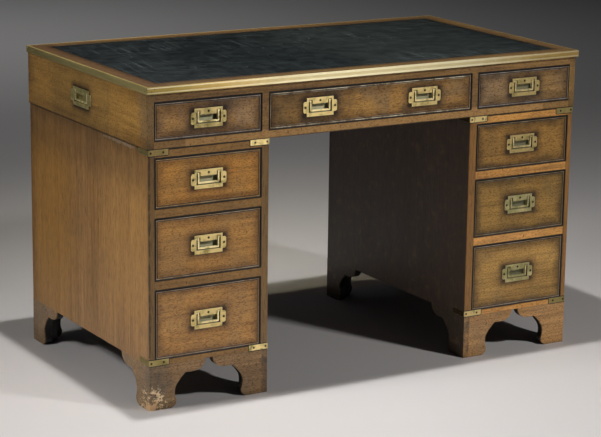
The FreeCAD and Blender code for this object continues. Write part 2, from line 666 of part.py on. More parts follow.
def make_top():
    """Board, crossbanding, leather and brass edge; the underside of the top is their z = 0."""
    top = size("top_thickness")
    seat = top - size("band_thickness")
    metal = 2 * size("edge_metal")
    leather_top = top - size("leather_sink")
    leather_foot = leather_top - size("leather_thickness")
    wide, deep = size("desk_width") - metal, size("desk_depth") - metal
    brass = brass_edge()
    pins = edge_pins()
    board = centred_box(wide, deep, 0, seat).fuse(leather_slab(seat, leather_foot))
    band = centred_box(wide, deep, seat, top).cut(leather_slab(seat, top)).cut(brass)
    strips = Part.makeCompound(mitred_lengths(brass)).cut(Part.makeCompound(pins))
    pieces = {
        "top_board": board.removeSplitter(),
        "top_crossbanding": Part.makeCompound(mitred_lengths(band)),
        "leather_writing_surface": leather_slab(leather_foot, leather_top),
        "brass_edge_strips": Part.makeCompound([strips] + pins),
    }
    for label, shape in pieces.items():
        node(label, place(feature(label, shape), 0, 0, CASE_TOP))


# ---------------------------------------------------------------- case


def make_case(carry_plate, carry_mortise, carry_bail):
    inside_depth = f"{BACK} - case_back_thickness - ({FRONT} + frieze_rail_depth)"
    behind_rail = f"{FRONT} + frieze_rail_depth"
    ends, plates = [], []
    for side, sign, spin in (("left", "-", -90), ("right", "", 90)):
        end = side_block(f"case_end_{side}", side, CASE_INNER, CASE_SIDE, FRONT, CASE_FLOOR,
                         f"{BACK} - {FRONT}", f"{CASE_TOP} - {CASE_FLOOR}")
        outward = "+x" if side == "right" else "-x"
        end = eased(end, f"{outward} -z", f"{outward} -y", f"{outward} +y", "-y -z", "+y -z")
        spot = (f"{sign}{CASE_SIDE}", f"{FRONT} + carry_setback", f"({CASE_FLOOR} + {CASE_TOP}) / 2")
        mortise = placed(f"carry_mortise_{side}", carry_mortise, *spot, spin)
        ends.append(cut(f"case_end_cut_{side}", end, mortise))
        plates.append(place(turn(group(f"carry_plate_{side}", carry_plate), (0, 0, 1), spin), *spot))
        node(f"{side}_carrying_bail", placed(f"carry_swing_{side}", carry_bail, *spot, spin))
    node("case_end_panels", group("case_ends", ends))
    node("carrying_handle_plates", group("carry_plates", plates))

    width = f"2 * {CASE_INNER}"
    rails = [block(f"case_{level}_rail", f"-{CASE_INNER}", FRONT, z,
                   width, "frieze_rail_depth", "frieze_rail")
             for level, z in (("bottom", CASE_FLOOR), ("top", FRIEZE_CEILING))]
    frame = [eased(rails[0], "-y -z"), rails[1]]
    inner_parts = []
    for side in SIDES:
        frame.append(side_block(f"case_stile_{side}", side, PEDESTAL_INNER, STILE_OUTER, FRONT, FRIEZE_FLOOR,
                                "frieze_rail_depth", "frieze_opening"))
        inner_parts.append(side_block(f"partition_{side}", side, PARTITION_INNER, PARTITION_OUTER,
                                      behind_rail, f"{CASE_FLOOR} + case_floor_thickness", inside_depth,
                                      f"{CASE_TOP} - {CASE_FLOOR} - case_floor_thickness"))
        for name, near in (("inner", f"({PARTITION_INNER} - runner_width)"), ("middle", PARTITION_OUTER),
                           ("outer", f"({CASE_INNER} - runner_width)")):
            inner_parts.append(side_block(f"case_runner_{name}_{side}", side, near,
                                          f"({near} + runner_width)", behind_rail,
                                          f"{CASE_FLOOR} + case_floor_thickness", inside_depth,
                                          "frieze_rail - case_floor_thickness"))
    node("case_face_frame", group("case_frame", frame))
    node("case_partitions_and_runners", group("case_inside", inner_parts))
    back = block("case_back", f"-{CASE_INNER}", f"{BACK} - case_back_thickness", CASE_FLOOR,
                 width, "case_back_thickness", f"{CASE_TOP} - {CASE_FLOOR}")
    node("case_back_board", eased(back, "+y -z"))
    floor = block("case_floor", f"-{CASE_INNER}", behind_rail, CASE_FLOOR,
                  width, inside_depth, "case_floor_thickness")
    sockets = dowels("socket", "dowel_radius + dowel_clearance", CASE_FLOOR,
                     "dowel_rise - case_gap + dowel_headroom")
    node("case_bottom_board", cut("case_floor_cut", floor, group("sockets", sockets)))


def dowels(name, radius, z, length):
    """Four upright rods where the dowels stand, two on each pedestal."""
    rods = []
    for side, sign in (("left", "-"), ("right", "")):
        x = f"{sign}({PEDESTAL_INNER} + {PEDESTAL_OUTER}) / 2"
        for end, y in (("front", f"{FRONT} + dowel_setback"), ("back", f"{BACK} - dowel_setback")):
            rods.append(rod(f"{name}_{side}_{end}", "Z", radius, length, x, y, z))
    return rods


# ---------------------------------------------------------------- pedestals


def bracket_outline():
    """Outline of a bracket foot in X and Z: corner of the pedestal at the origin, cut away below."""
    top, length = size("foot_height"), size("bracket_length")
    swell, waist = size("foot_swell"), size("foot_waist")
    cusp, cusp_z = size("cusp_reach"), size("cusp_height")
    lobe, lobe_z = size("lobe_reach"), size("lobe_height")

    def at(x, z):
        return FreeCAD.Vector(x, 0, z)

    pad, toe, ankle = at(size("foot_pad"), 0), at(swell, 0.25 * cusp_z), at(swell - 0.5, 0.64 * cusp_z)
    point, turn_up, end = at(cusp, cusp_z), at(lobe, lobe_z), at(length, top)
    pad_bend = at(0.25 * size("foot_pad") + 0.75 * swell, 0.06 * cusp_z)
    throat = at(0.54 * swell + 0.46 * cusp, 0.84 * cusp_z)
    lobe_bend = at(0.5 * cusp + 0.5 * lobe, 1.5 * cusp_z - 0.5 * lobe_z)
    end_bend = at(0.3 * lobe + 0.7 * length, 0.58 * lobe_z + 0.42 * top)
    return Part.Wire([
        Part.LineSegment(at(0, top), at(0, 0)).toShape(),
        Part.LineSegment(at(0, 0), pad).toShape(),
        Part.Arc(pad, pad_bend, toe).toShape(),
        Part.Arc(toe, at(waist, 0.5 * cusp_z), ankle).toShape(),
        Part.Arc(ankle, throat, point).toShape(),
        Part.Arc(point, lobe_bend, turn_up).toShape(),
        Part.Arc(turn_up, end_bend, end).toShape(),
        Part.LineSegment(end, at(0, top)).toShape(),
    ])


def foot_shape():
    """Front and side bracket mitred together at the corner, with the glue block behind them."""
    thickness, length, top = size("bracket_thickness"), size("bracket_length"), size("foot_height")
    bracket = Part.Face(bracket_outline()).extrude(FreeCAD.Vector(0, thickness, 0))
    reach = [FreeCAD.Vector(0, 0, 0), FreeCAD.Vector(length, 0, 0), FreeCAD.Vector(length, thickness, 0),
             FreeCAD.Vector(thickness, thickness, 0), FreeCAD.Vector(0, 0, 0)]
    front = bracket.common(Part.Face(Part.makePolygon(reach)).extrude(FreeCAD.Vector(0, 0, top)))
    diagonal = FreeCAD.Vector(1, -1, 0)
    side = front.mirror(FreeCAD.Vector(0, 0, 0), diagonal)
    block_size, lift = size("glue_block"), size("glue_block_lift")
    glue = Part.makeBox(block_size, block_size, top - lift, FreeCAD.Vector(thickness, thickness, lift))
    return Part.makeCompound([front, side, glue])


def make_feet():
    """Four feet under each pedestal, from one form and its mirror images."""
    foot = foot_shape()
    middle = FreeCAD.Vector(0, 0, 0)
    across, along = FreeCAD.Vector(1, 0, 0), FreeCAD.Vector(0, 1, 0)
    forms = {
        ("left", "front"): foot,
        ("right", "front"): foot.mirror(middle, across),
        ("left", "back"): foot.mirror(middle, along),
        ("right", "back"): foot.mirror(middle, across).mirror(middle, along),
    }
    for side in SIDES:
        feet = []
        for (hand, end), shape in forms.items():
            edge = PEDESTAL_OUTER if hand == side else PEDESTAL_INNER
            x = edge if side == "right" else f"-{edge}"
            y = FRONT if end == "front" else BACK
            feet.append(place(feature(f"foot_{side}_{hand}_{end}", shape), x, y))
        node(f"{side}_bracket_feet", group(f"feet_{side}", feet))


def make_pedestal(side, straps, housings):
    """Panels, boards, rails and runners of one pedestal; returns the pieces that both share a node for."""
    outer_inside = f"({PEDESTAL_OUTER} - outer_side)"
    inner_inside = f"({PEDESTAL_INNER} + inner_side)"
    depth = f"{BACK} - {FRONT}"
    inside_depth = f"{depth} - pedestal_back_thickness"
    height = f"{PEDESTAL_TOP} - foot_height"
    sign = "-" if side == "left" else ""
    other = {"left": "right", "right": "left"}[side]
    spots = []
    for level, z in (("low", "foot_height"), ("high", f"{PEDESTAL_TOP} - strap_height")):
        spots.append((f"{side}_{level}_outer", side, f"{sign}{PEDESTAL_OUTER}", z))
        spots.append((f"{side}_{level}_inner", other, f"{sign}{PEDESTAL_INNER}", z))
    strap_group = [placed(f"strap_{name}", straps[hand], x, FRONT, z) for name, hand, x, z in spots]
    housing = fused(f"strap_housings_{side}",
                    [placed(f"housing_{name}", housings[hand], x, FRONT, z) for name, hand, x, z in spots])

    panels = []
    for face, near, far in (("outer", outer_inside, PEDESTAL_OUTER), ("inner", PEDESTAL_INNER, inner_inside)):
        panel = side_block(f"panel_{face}_{side}", side, near, far, FRONT, "foot_height", depth, height)
        outward = "+x" if (face == "outer") == (side == "right") else "-x"
        panel = eased(panel, f"{outward} +z", f"{outward} -y", f"{outward} +y", "-y +z", "+y +z")
        panels.append(cut(f"panel_cut_{face}_{side}", panel, housing))
    node(f"{side}_pedestal_sides", group(f"panels_{side}", panels))

    def between(name, y, z, deep, high):
        return side_block(f"{name}_{side}", side, inner_inside, outer_inside, y, z, deep, high)

    cap = eased(between("cap", FRONT, CAP_FLOOR, inside_depth, "cap_board"), "-y +z")
    base = between("base", FRONT, "foot_height", inside_depth, "base_board")
    rails = [between("lower_rail", FRONT, f"{MIDDLE_FLOOR} - rail_height", "rail_depth", "rail_height"),
             between("upper_rail", FRONT, f"{UPPER_FLOOR} - rail_height", "rail_depth", "rail_height")]
    runners = []
    for level, floor in (("lower", MIDDLE_FLOOR), ("upper", UPPER_FLOOR)):
        for hand, near in (("inner", inner_inside), ("outer", f"({outer_inside} - runner_width)")):
            runners.append(side_block(f"runner_{level}_{hand}_{side}", side, near, f"({near} + runner_width)",
                                      f"{FRONT} + rail_depth", f"{floor} - runner_height",
                                      f"{inside_depth} - rail_depth", "runner_height"))
    back = between("back", f"{BACK} - pedestal_back_thickness", "foot_height",
                   "pedestal_back_thickness", height)
    return {
        "straps": strap_group,
        "boards": [cut(f"cap_cut_{side}", cap, housing), cut(f"base_cut_{side}", base, housing)],
        "rails": rails,
        "runners": runners,
        "backs": [eased(back, "+y +z")],
    }


def make_pedestals(straps, housings):
    shared = [make_pedestal(side, straps, housings) for side in SIDES]

    def both(key):
        return [thing for pieces in shared for thing in pieces[key]]

    pegs = dowels("dowel", "dowel_radius", f"{PEDESTAL_TOP} + dowel_rise - dowel_length", "dowel_length")
    boards = cut("boards_cut", group("boards", both("boards")), group("pegs", pegs))
    node("pedestal_cap_and_base_boards", boards)
    node("pedestal_drawer_rails", group("rails", both("rails")))
    node("pedestal_drawer_runners", group("runners", both("runners")))
    node("pedestal_back_panels", group("backs", both("backs")))
    node("brass_corner_straps", group("straps", both("straps")))
    node("locating_dowels", group("dowels", pegs))
    make_feet()


# ---------------------------------------------------------------- the desk


def make_drawers(plate_parts, bail):
    side_middle = f"({STILE_OUTER} + {CASE_INNER}) / 2"
    side_width = f"({CASE_INNER} - {STILE_OUTER})"
    tray_middle = f"({PEDESTAL_INNER} + inner_side + {PEDESTAL_OUTER} - outer_side) / 2"
    tray_width = "(pedestal_width - inner_side - outer_side)"
    one = [("pull", "0")]
    two = [("left_pull", "(-pull_spread / 2)"), ("right_pull", "(pull_spread / 2)")]
    openings = [("frieze_centre", "0", FRIEZE_FLOOR, f"(2 * {PEDESTAL_INNER})", "frieze_opening",
                 CASE_DRAWER, two)]
    for side, sign in (("left", "-"), ("right", "")):
        openings.append((f"frieze_{side}", f"{sign}{side_middle}", FRIEZE_FLOOR, side_width, "frieze_opening",
                         CASE_DRAWER, one))
        for level, floor, height in (("upper", UPPER_FLOOR, "upper_opening"),
                                     ("middle", MIDDLE_FLOOR, "middle_opening"),
                                     ("lower", LOWER_FLOOR, LOWER_OPENING)):
            openings.append((f"{side}_{level}", f"{sign}{tray_middle}", floor, tray_width, height,
                             PEDESTAL_DRAWER, one))
    for name, x, floor, width, height, length, pulls in openings:
        make_drawer(name, x, floor, width, height, length, pulls, plate_parts, bail)


def check_and_export():
    """Stops on anything that failed, then writes each sub-part to its own file."""
    doc.recompute()
    for thing in doc.Objects:
        if "Invalid" in thing.State or "Error" in thing.State:
            raise RuntimeError(f"{thing.Name} has not built: {thing.State}")
    for thing in nodes:
        if thing.Shape.isNull() or not thing.Shape.isValid():
            raise RuntimeError(f"{thing.Label} is not a valid shape")
    os.makedirs("parts", exist_ok=True)
    for thing in nodes:
        thing.Shape.exportStep(f"parts/{thing.Label}.step")
        print(f"{thing.Label}: {len(thing.Shape.Solids)} solids, {thing.Shape.Volume / 1000:.1f} cm3")


screw_blank, screw_form = make_screw()
pull_parts, _ = plate_forms("pull", screw_blank, screw_form)
carry_parts, carry_mortise = plate_forms("carry", screw_blank, screw_form)
strap_pieces, strap_housings = strap_forms(screw_blank, screw_form)
make_top()
make_case(carry_parts, carry_mortise, bail_form("carry"))
make_pedestals(strap_pieces, strap_housings)
make_drawers(pull_parts, bail_form("pull"))
check_and_export()
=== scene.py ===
"""Campaign desk: finishes and hand-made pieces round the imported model, with a plain studio to show it."""
import logging
import math
from dataclasses import dataclass, replace
from enum import Enum
from functools import partial, reduce

import bmesh
import bpy
from mathutils import Matrix, Vector, geometry, noise


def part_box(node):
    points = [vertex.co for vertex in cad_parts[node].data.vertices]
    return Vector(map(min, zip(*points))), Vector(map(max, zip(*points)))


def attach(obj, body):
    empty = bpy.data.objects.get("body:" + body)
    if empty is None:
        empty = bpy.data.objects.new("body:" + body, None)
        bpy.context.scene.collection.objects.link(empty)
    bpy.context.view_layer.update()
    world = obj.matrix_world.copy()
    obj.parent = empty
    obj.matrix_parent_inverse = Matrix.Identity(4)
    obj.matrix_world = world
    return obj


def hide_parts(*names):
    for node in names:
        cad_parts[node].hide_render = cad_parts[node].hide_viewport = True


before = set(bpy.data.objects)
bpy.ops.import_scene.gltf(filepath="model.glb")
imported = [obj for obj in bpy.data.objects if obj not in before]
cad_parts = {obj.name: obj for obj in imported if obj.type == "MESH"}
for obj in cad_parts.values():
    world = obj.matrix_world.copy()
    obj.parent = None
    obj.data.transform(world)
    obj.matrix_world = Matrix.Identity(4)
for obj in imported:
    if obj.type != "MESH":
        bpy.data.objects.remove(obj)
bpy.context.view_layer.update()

LOG = logging.getLogger("campaign_desk")
MM = 0.001
FAR = 9.0  # metres, further than any edge of the desk
ALL = (-FAR, FAR)
EVEN = (1.0, 1.0, 1.0)
SKIN = -326.5 * MM  # depth just inside the front of the pedestals
LEFT_END = (-FAR, -0.5)
CLOUDS = (0.3, 0.7)  # most of a noise pattern lies between these
LEVELS = ("upper", "middle", "lower")
SIDES = ("left", "right")

Node = bpy.types.Node
Socket = bpy.types.NodeSocket
Material = bpy.types.Material
Feed = Node | Socket | Vector | float | str | tuple
Point = tuple[float, float, float]
Span = tuple[float, float]
Box = tuple[Point, Point]


def linear(hex_colour: str) -> tuple[float, ...]:
    """Turns an sRGB hex colour into linear light.

    Args:
        hex_colour: a colour such as "#8A6238".

    Returns:
        Red, green, blue and an alpha of 1.
    """
    parts = [int(hex_colour[at:at + 2], 16) / 255 for at in (1, 3, 5)]
    return *(part / 12.92 if part <= 0.04045 else ((part + 0.055) / 1.055) ** 2.4 for part in parts), 1.0


class Grain(Enum):
    """Axis that the fibres run along."""

    WIDTH = 0
    DEPTH = 1
    HEIGHT = 2

    def drawn(self, amount: float) -> Point:
        """Scale along each axis of a pattern that is drawn out along the fibres."""
        return tuple(amount if axis == self.value else 1.0 for axis in range(3))


@dataclass(frozen=True)
class Patch:
    """A box in the desk's frame whose surfaces have a tone of their own, with a soft outline."""

    tone: str
    amount: float = 1.0
    reach_mm: float = 3.0
    ragged: float = 0.3
    cover: float = 0.75  # share of the wood's own pattern that it hides
    x: Span = ALL
    y: Span = ALL
    z: Span = (0.0, FAR)

    @property
    def box(self) -> Box:
        """Its lowest and its highest corner."""
        return tuple(zip(self.x, self.y, self.z))


class Recipe:
    """One material while it is mixed: its shader, its tone so far and the point that patterns start from."""

    def __init__(self, name: str, **surface: float) -> None:
        """Starts an empty material.

        Args:
            name: name of the material.
            surface: values that are the same all over, by the shader's own socket names.
        """
        self.material = bpy.data.materials.new(name)
        self.material.use_nodes = True
        self.tree = self.material.node_tree
        self.tree.nodes.clear()
        sockets = {key.replace("_", " "): value for key, value in surface.items()}
        self.shader = self.add("BsdfPrincipled", sockets)
        self.add("OutputMaterial", {"Surface": self.shader})
        self.point = self.add("TexCoord").outputs["Object"]
        self.tone: Feed = "#FFFFFF"

    def add(self, kind: str, inputs: dict[int | str, Feed] | None = None, stops: tuple = (),
            **settings: object) -> Node:
        """Adds a node with its settings and links.

        Args:
            kind: type of the node, without Blender's prefix.
            inputs: what goes into each input, by name or place: a number, a colour, a node or a socket.
            stops: places and hex colours of a colour ramp.
            settings: properties of the node.

        Returns:
            The node.
        """
        node = self.tree.nodes.new("ShaderNode" + kind)
        for key, setting in settings.items():
            setattr(node, key, setting)
        for number, (place, colour) in enumerate(stops):
            ramp = node.color_ramp.elements
            stop = ramp[number] if number < 2 else ramp.new(place)
            stop.position = place
            stop.color = linear(colour)
        for key, value in (inputs or {}).items():
            self.feed(node, key, value)
        return node

    def feed(self, node: Node, key: int | str, value: Feed) -> None:
        """Sets or links one input of a node.

        Args:
            node: the node.
            key: name or place of the input among those in use.
            value: a number, a colour, a node or a socket.
        """
        inputs = [socket for socket in node.inputs if socket.enabled]
        found = inputs[key] if isinstance(key, int) else next(s for s in inputs if s.name == key)
        if isinstance(value, Node):
            value = next(socket for socket in value.outputs if socket.enabled)
        if isinstance(value, Socket):
            self.tree.links.new(value, found)
        else:
            found.default_value = linear(value) if isinstance(value, str) else value

    def math(self, how: str, first: Feed, second: Feed) -> Node:
        """Arithmetic on two numbers or masks, by Blender's name for it."""
        return self.add("Math", {0: first, 1: second}, operation=how)

    def vector(self, how: str, *values: Feed) -> Node:
        """Arithmetic on vectors, by Blender's name for it."""
        return self.add("VectorMath", dict(enumerate(values)), operation=how)

    def blend(self, amount: Feed, first: Feed, second: Feed) -> Node:
        """A number or mask between two others."""
        return self.add("Mix", {"Factor": amount, "A": first, "B": second}, data_type="FLOAT")

    def tint(self, amount: Feed, below: Feed, above: Feed, how: str = "MIX") -> Node:
        """Lays one tone over another, as strongly as a number or a mask says."""
        return self.add("Mix", {"Factor": amount, "A": below, "B": above}, data_type="RGBA", blend_type=how)

    def strength(self, mask: Feed, amount: float) -> Node:
        """A mask at part of its strength."""
        return self.math("MULTIPLY", mask, amount)

    def lay(self, mask: Feed, colour: Feed, amount: float = 1.0, how: str = "MIX") -> None:
        """Lays a colour over the material's tone, where a mask says and at part of its strength."""
        mask = mask if amount == 1.0 else self.strength(mask, amount)
        self.tone = self.tint(mask, self.tone, colour, how)

    def placed(self, scale: Point = EVEN, start: Point = (0.0, 0.0, 0.0), turn: Point = (0.0, 0.0, 0.0),
               point: Feed | None = None) -> Node:
        """The point that a pattern starts from, stretched along each axis, moved and turned, in radians."""
        point = self.point if point is None else point
        return self.add("Mapping", {"Vector": point, "Scale": scale, "Location": start, "Rotation": turn})

    def ramp(self, value: Feed, start: float, end: float, low: float = 0.0, high: float = 1.0,
             how: str = "LINEAR") -> Node:
        """Stretches a value.

        Args:
            value: the value.
            start: where it begins to change what comes out.
            end: where it stops doing so.
            low: what comes out up to the start.
            high: what comes out from the end.
            how: Blender's name for the way between.

        Returns:
            The stretched value.
        """
        return self.add("MapRange", {"Value": value, "From Min": start, "From Max": end,
                                     "To Min": low, "To Max": high}, interpolation_type=how)

    def clouds(self, scale: float, detail: float, roughness: float = 0.5, swirl: float = 0.0,
               laid: Node | None = None) -> Node:
        """An uneven pattern.

        Args:
            scale: how fine it is, in forms to the metre.
            detail: how many finer layers it has.
            roughness: how much they count.
            swirl: how far it is twisted.
            laid: the point that it starts from, if that isn't the plain one.

        Returns:
            The pattern.
        """
        place = self.point if laid is None else laid
        return self.add("TexNoise", {"Vector": place, "Scale": scale, "Detail": detail,
                                     "Roughness": roughness, "Distortion": swirl})

    def scatter(self, cell_mm: float, reach: Span, share: float, stretch: Point = EVEN) -> Node:
        """Small marks strewn at random.

        Args:
            cell_mm: spacing of the marks.
            reach: radius where a mark starts to fade and where it ends, as parts of the spacing.
            share: how many of the places have a mark.
            stretch: scale of the pattern along each axis.

        Returns:
            The mask, 1 on a mark.
        """
        laid = self.placed(stretch, (cell_mm, 0.37, 1.91))
        cells = self.add("TexVoronoi", {"Vector": laid, "Scale": 1 / (cell_mm * MM)})
        spot = self.ramp(cells.outputs["Distance"], *reach, 1.0, 0.0)
        return self.math("MULTIPLY", spot, self.ramp(cells.outputs["Color"], 1 - share, 1.05 - share))

    def ragged(self, value: Feed, swing_mm: float, scale: float = 45.0) -> Node:
        """A distance made uneven, by so many mm, so that what ends there has no ruled edge."""
        swing = self.ramp(self.clouds(scale, 3.0), *CLOUDS, -swing_mm * MM, swing_mm * MM)
        return self.math("ADD", value, swing)

    def below(self, value: Feed, start_mm: float, end_mm: float, amount: float = 1.0) -> Node:
        """A mask that fades as a distance grows.

        Args:
            value: the distance.
            start_mm: distance where it starts to fade.
            end_mm: distance where it is gone.
            amount: its full strength.

        Returns:
            The mask.
        """
        return self.ramp(value, start_mm * MM, end_mm * MM, amount, 0.0, "SMOOTHSTEP")

    def middle_out(self, box: Box) -> tuple[Node, Vector]:
        """Measures a point from the middle of a box.

        Args:
            box: its lowest and its highest corner.

        Returns:
            The distance along each axis, and half the box's size.
        """
        low, high = map(Vector, box)
        off = self.vector("SUBTRACT", self.point, (low + high) / 2)
        return self.vector("ABSOLUTE", off), (high - low) / 2

    def inset(self, box: Box) -> Node:
        """How far inside a box a point is, from its nearest face.

        Args:
            box: its corners; an axis that doesn't count goes as far as FAR.

        Returns:
            The distance.
        """
        size, half = self.middle_out(box)
        left = self.add("SeparateXYZ", {0: self.vector("SUBTRACT", half, size)}).outputs
        return self.math("MINIMUM", self.math("MINIMUM", left[0], left[2]), left[1])

    def outset(self, box: Box) -> Socket:
        """How far outside a box a point is.

        Args:
            box: its corners.

        Returns:
            The distance.
        """
        size, half = self.middle_out(box)
        out = self.vector("MAXIMUM", self.vector("SUBTRACT", size, half), (0.0, 0.0, 0.0))
        return self.vector("LENGTH", out).outputs["Value"]

    def away(self, place: Point) -> Socket:
        """How far a point is from a place."""
        return self.vector("DISTANCE", self.point, place).outputs["Value"]

    def patch(self, patch: Patch, cover: float = 1.0) -> None:
        """Lays a patch on the material's tone, of which it hides as much as cover says."""
        away = self.ragged(self.outset(patch.box), patch.ragged * patch.reach_mm)
        self.lay(self.below(away, 0.0, patch.reach_mm, patch.amount), self.tint(cover, self.tone, patch.tone))

    def corner_dirt_and_shade(self, reach_mm: float) -> Node:
        """Wax, soil and painted shade: 1 in a corner that is closed in within a short reach."""
        shut = self.add("AmbientOcclusion", {"Distance": reach_mm * MM}, samples=6)
        return self.ramp(shut.outputs["AO"], 0.35, 0.85, 1.0, 0.0)

    def arrises(self, radius_mm: float) -> tuple[Node, Node]:
        """Softened edges.

        Args:
            radius_mm: radius that hands and polish have given the edges.

        Returns:
            The softened normal and a mask that is 1 on an edge.
        """
        soft = self.add("Bevel", {"Radius": radius_mm * MM}, samples=6)
        flat = self.add("NewGeometry").outputs["Normal"]
        same = self.vector("DOT_PRODUCT", soft, flat).outputs["Value"]
        return soft, self.ramp(same, 0.995, 0.86)

    def finish(self, roughness: Node, height: Node | None = None, depth_mm: float = 0.1,
               normal: Node | None = None) -> Material:
        """Joins the tone and the patterns to the shader.

        Args:
            roughness: roughness.
            height: pattern of the relief.
            depth_mm: height of that relief.
            normal: softened normal that the relief starts from.

        Returns:
            The finished material.
        """
        self.feed(self.shader, "Base Color", self.tone)
        self.feed(self.shader, "Roughness", roughness)
        if height is not None:
            start = {} if normal is None else {"Normal": normal}
            relief = self.add("Bump", {"Height": height, "Distance": depth_mm * MM, "Strength": 1.0, **start})
            self.feed(self.shader, "Normal", relief)
        return self.material


@dataclass(frozen=True)
class Mahogany:
    """Mahogany, stained, French polished and waxed, now faded.

    The eye sees ribbons of gold and brown, fine dark pores, fields rubbed dark with old polish towards
    their edges and round the brass, and arrises rubbed pale and partly painted as highlights. A painted
    shadow lies close round the brass and in the gaps, painted shade darkens the corners, and a drawer's
    bead carries painted highlights. The gloss is a satin one, broken by the pores.
    """

    name: str
    grain: Grain
    deep: str
    body: str
    pale: str
    seed: float = 0.0
    sawn: Point = (0.012, 0.017, 0.014)  # radians: no board is sawn quite along its fibres
    drawn: Span = (0.05, 0.4)  # scale of figure and of pores along the fibres
    ribbon_mm: float = 30.0
    streak_mm: float = 6.0
    pore_mm: float = 2.6  # mahogany's are 0.3 by 8 mm: too fine to see from here, so they are drawn wider
    pores: float = 0.6
    cloud: str = "#6E5138"
    cloudy: float = 0.35
    cloud_scale: float = 7.0
    patches: tuple[Patch, ...] = ()
    marks: float = 0.35  # share of the places with a dark knock or speck
    mark_mm: Span = (21.0, 13.0)  # spacing of the two
    panel: Box | None = None  # a field that old polish darkens towards its edges
    panel_mm: Span = (0.0, 50.0)
    panel_shade: float = 0.5
    shade: str = "#7C6C50"
    rim: str = ""  # tone of the bead, which only a drawer front has
    gap_mm: Span = (1.3, 1.7)
    crest_mm: Span = (2.8, 3.2)
    rim_mm: Span = (3.2, 5.3)
    glint: float = 0.4
    fittings: tuple[Box, ...] = ()  # what the polish couldn't be rubbed close to; a painted shadow lies right round it
    halo: float = 0.9
    halo_mm: tuple[Span, Span] = ((-6.0, 30.0), (1.0, 12.0))
    scratches: float = 0.0
    fade: Point = EVEN
    wear_and_glint: str = "#B79468"
    wear_and_glint_amount: float = 0.5
    corner_dirt_shade: Span = (4.0, 0.85)  # reach in mm, and strength, of wax, soil and painted shade in the corners
    openings: tuple[Box, ...] = ()  # what stands in or on the wood, ringed by a painted shadow line
    shadow_line_mm: Span = (2.6, 3.7)
    chipped: Point | None = None
    roughness: float = 0.42

    def make(self) -> Material:
        """Mixes the material.

        Returns:
            The material.
        """
        mix = Recipe(f"mahogany_{self.name}", IOR=1.5, Coat_Weight=0.1, Coat_Roughness=0.3)
        start = (self.seed, self.seed * 1.7, self.seed * 0.6)
        along, pore_along = map(self.grain.drawn, self.drawn)
        laid = mix.placed(along, start, self.sawn)
        ribbon = mix.clouds(1 / (self.ribbon_mm * MM), 2.0, 0.5, 0.8, laid)
        streak = mix.clouds(1 / (self.streak_mm * MM), 4.0, 0.6, 0.2, laid)
        figure = mix.blend(0.55, ribbon, streak)
        low, high = CLOUDS
        mix.tone = mix.add("ValToRGB", {"Fac": figure},
                           stops=((low, self.deep), (high, self.pale), (0.5, self.body)))
        cloud = mix.clouds(self.cloud_scale, 5.0, swirl=0.4)
        mix.lay(mix.ramp(cloud, 0.42, 0.68, 0.0, self.cloudy, "SMOOTHSTEP"), self.cloud)
        for patch in self.patches:
            mix.patch(patch, patch.cover)
        dashes = mix.clouds(1 / (self.pore_mm * MM), 2.0, 0.7, laid=mix.placed(pore_along, start))
        pores = mix.ramp(dashes, 0.50, 0.62)
        mix.lay(pores, self.deep, self.pores, "MULTIPLY")
        knock_mm, speck_mm = self.mark_mm
        knocks = mix.scatter(knock_mm, (0.05, 0.12), self.marks, (1.0, 1.0, 0.45))
        marks = mix.math("MAXIMUM", knocks, mix.scatter(speck_mm, (0.08, 0.15), self.marks))
        mix.lay(marks, "#2A1D14", 0.6)
        if self.panel:
            edge = mix.inset(self.panel)
            start_mm, end_mm = self.panel_mm
            uneven = mix.ragged(edge, 0.22 * (end_mm - start_mm), 22.0)
            old = mix.below(uneven, start_mm - 0.2 * end_mm, end_mm, self.panel_shade)
            mix.lay(old, self.shade, how="MULTIPLY")
            if self.rim:
                self.bead(mix, edge, pores)
        wide, close = self.halo_mm
        for box in self.fittings:
            away = mix.ragged(mix.outset(box), 2.5, 30.0)
            mix.lay(mix.below(away, *wide, self.halo), "#6A5D55", how="MULTIPLY")
            # right round it, more old polish and a painted shadow of the brass
            mix.lay(mix.below(away, *close, 0.8 * self.halo), "#5A4E46", how="MULTIPLY")
        if self.scratches:
            mix.lay(mix.scatter(17.0, (0.03, 0.08), self.scratches, (0.3, 1.0, 1.0)), "#E9DDCB", 0.7)
        mix.lay(1.0, (*self.fade, 1.0), how="MULTIPLY")
        soft, edge = mix.arrises(1.0)
        edge_wear_and_highlight = mix.math("MULTIPLY", mix.ramp(mix.clouds(55.0, 4.0), 0.42, 0.62), edge)
        # arrises rubbed pale, and partly a painted highlight
        mix.lay(edge_wear_and_highlight, self.wear_and_glint, self.wear_and_glint_amount)
        # wax and soil in the corners, with painted shade
        reach_mm, amount = self.corner_dirt_shade
        mix.lay(mix.corner_dirt_and_shade(reach_mm), "#0E0A07", amount)
        # painted shadow line round drawers and straps
        if self.openings:
            near = reduce(partial(mix.math, "MINIMUM"), map(mix.outset, self.openings))
            mix.lay(mix.below(near, *self.shadow_line_mm, 0.95), "#080504")
        rough = mix.ramp(figure, *CLOUDS, self.roughness + 0.07, self.roughness - 0.05)
        if self.chipped:
            rough = self.chip(mix, rough)
        height = mix.math("SUBTRACT", mix.strength(streak, 0.25), mix.strength(pores, 0.6))
        return mix.finish(rough, mix.math("SUBTRACT", height, marks), 0.12, soft)

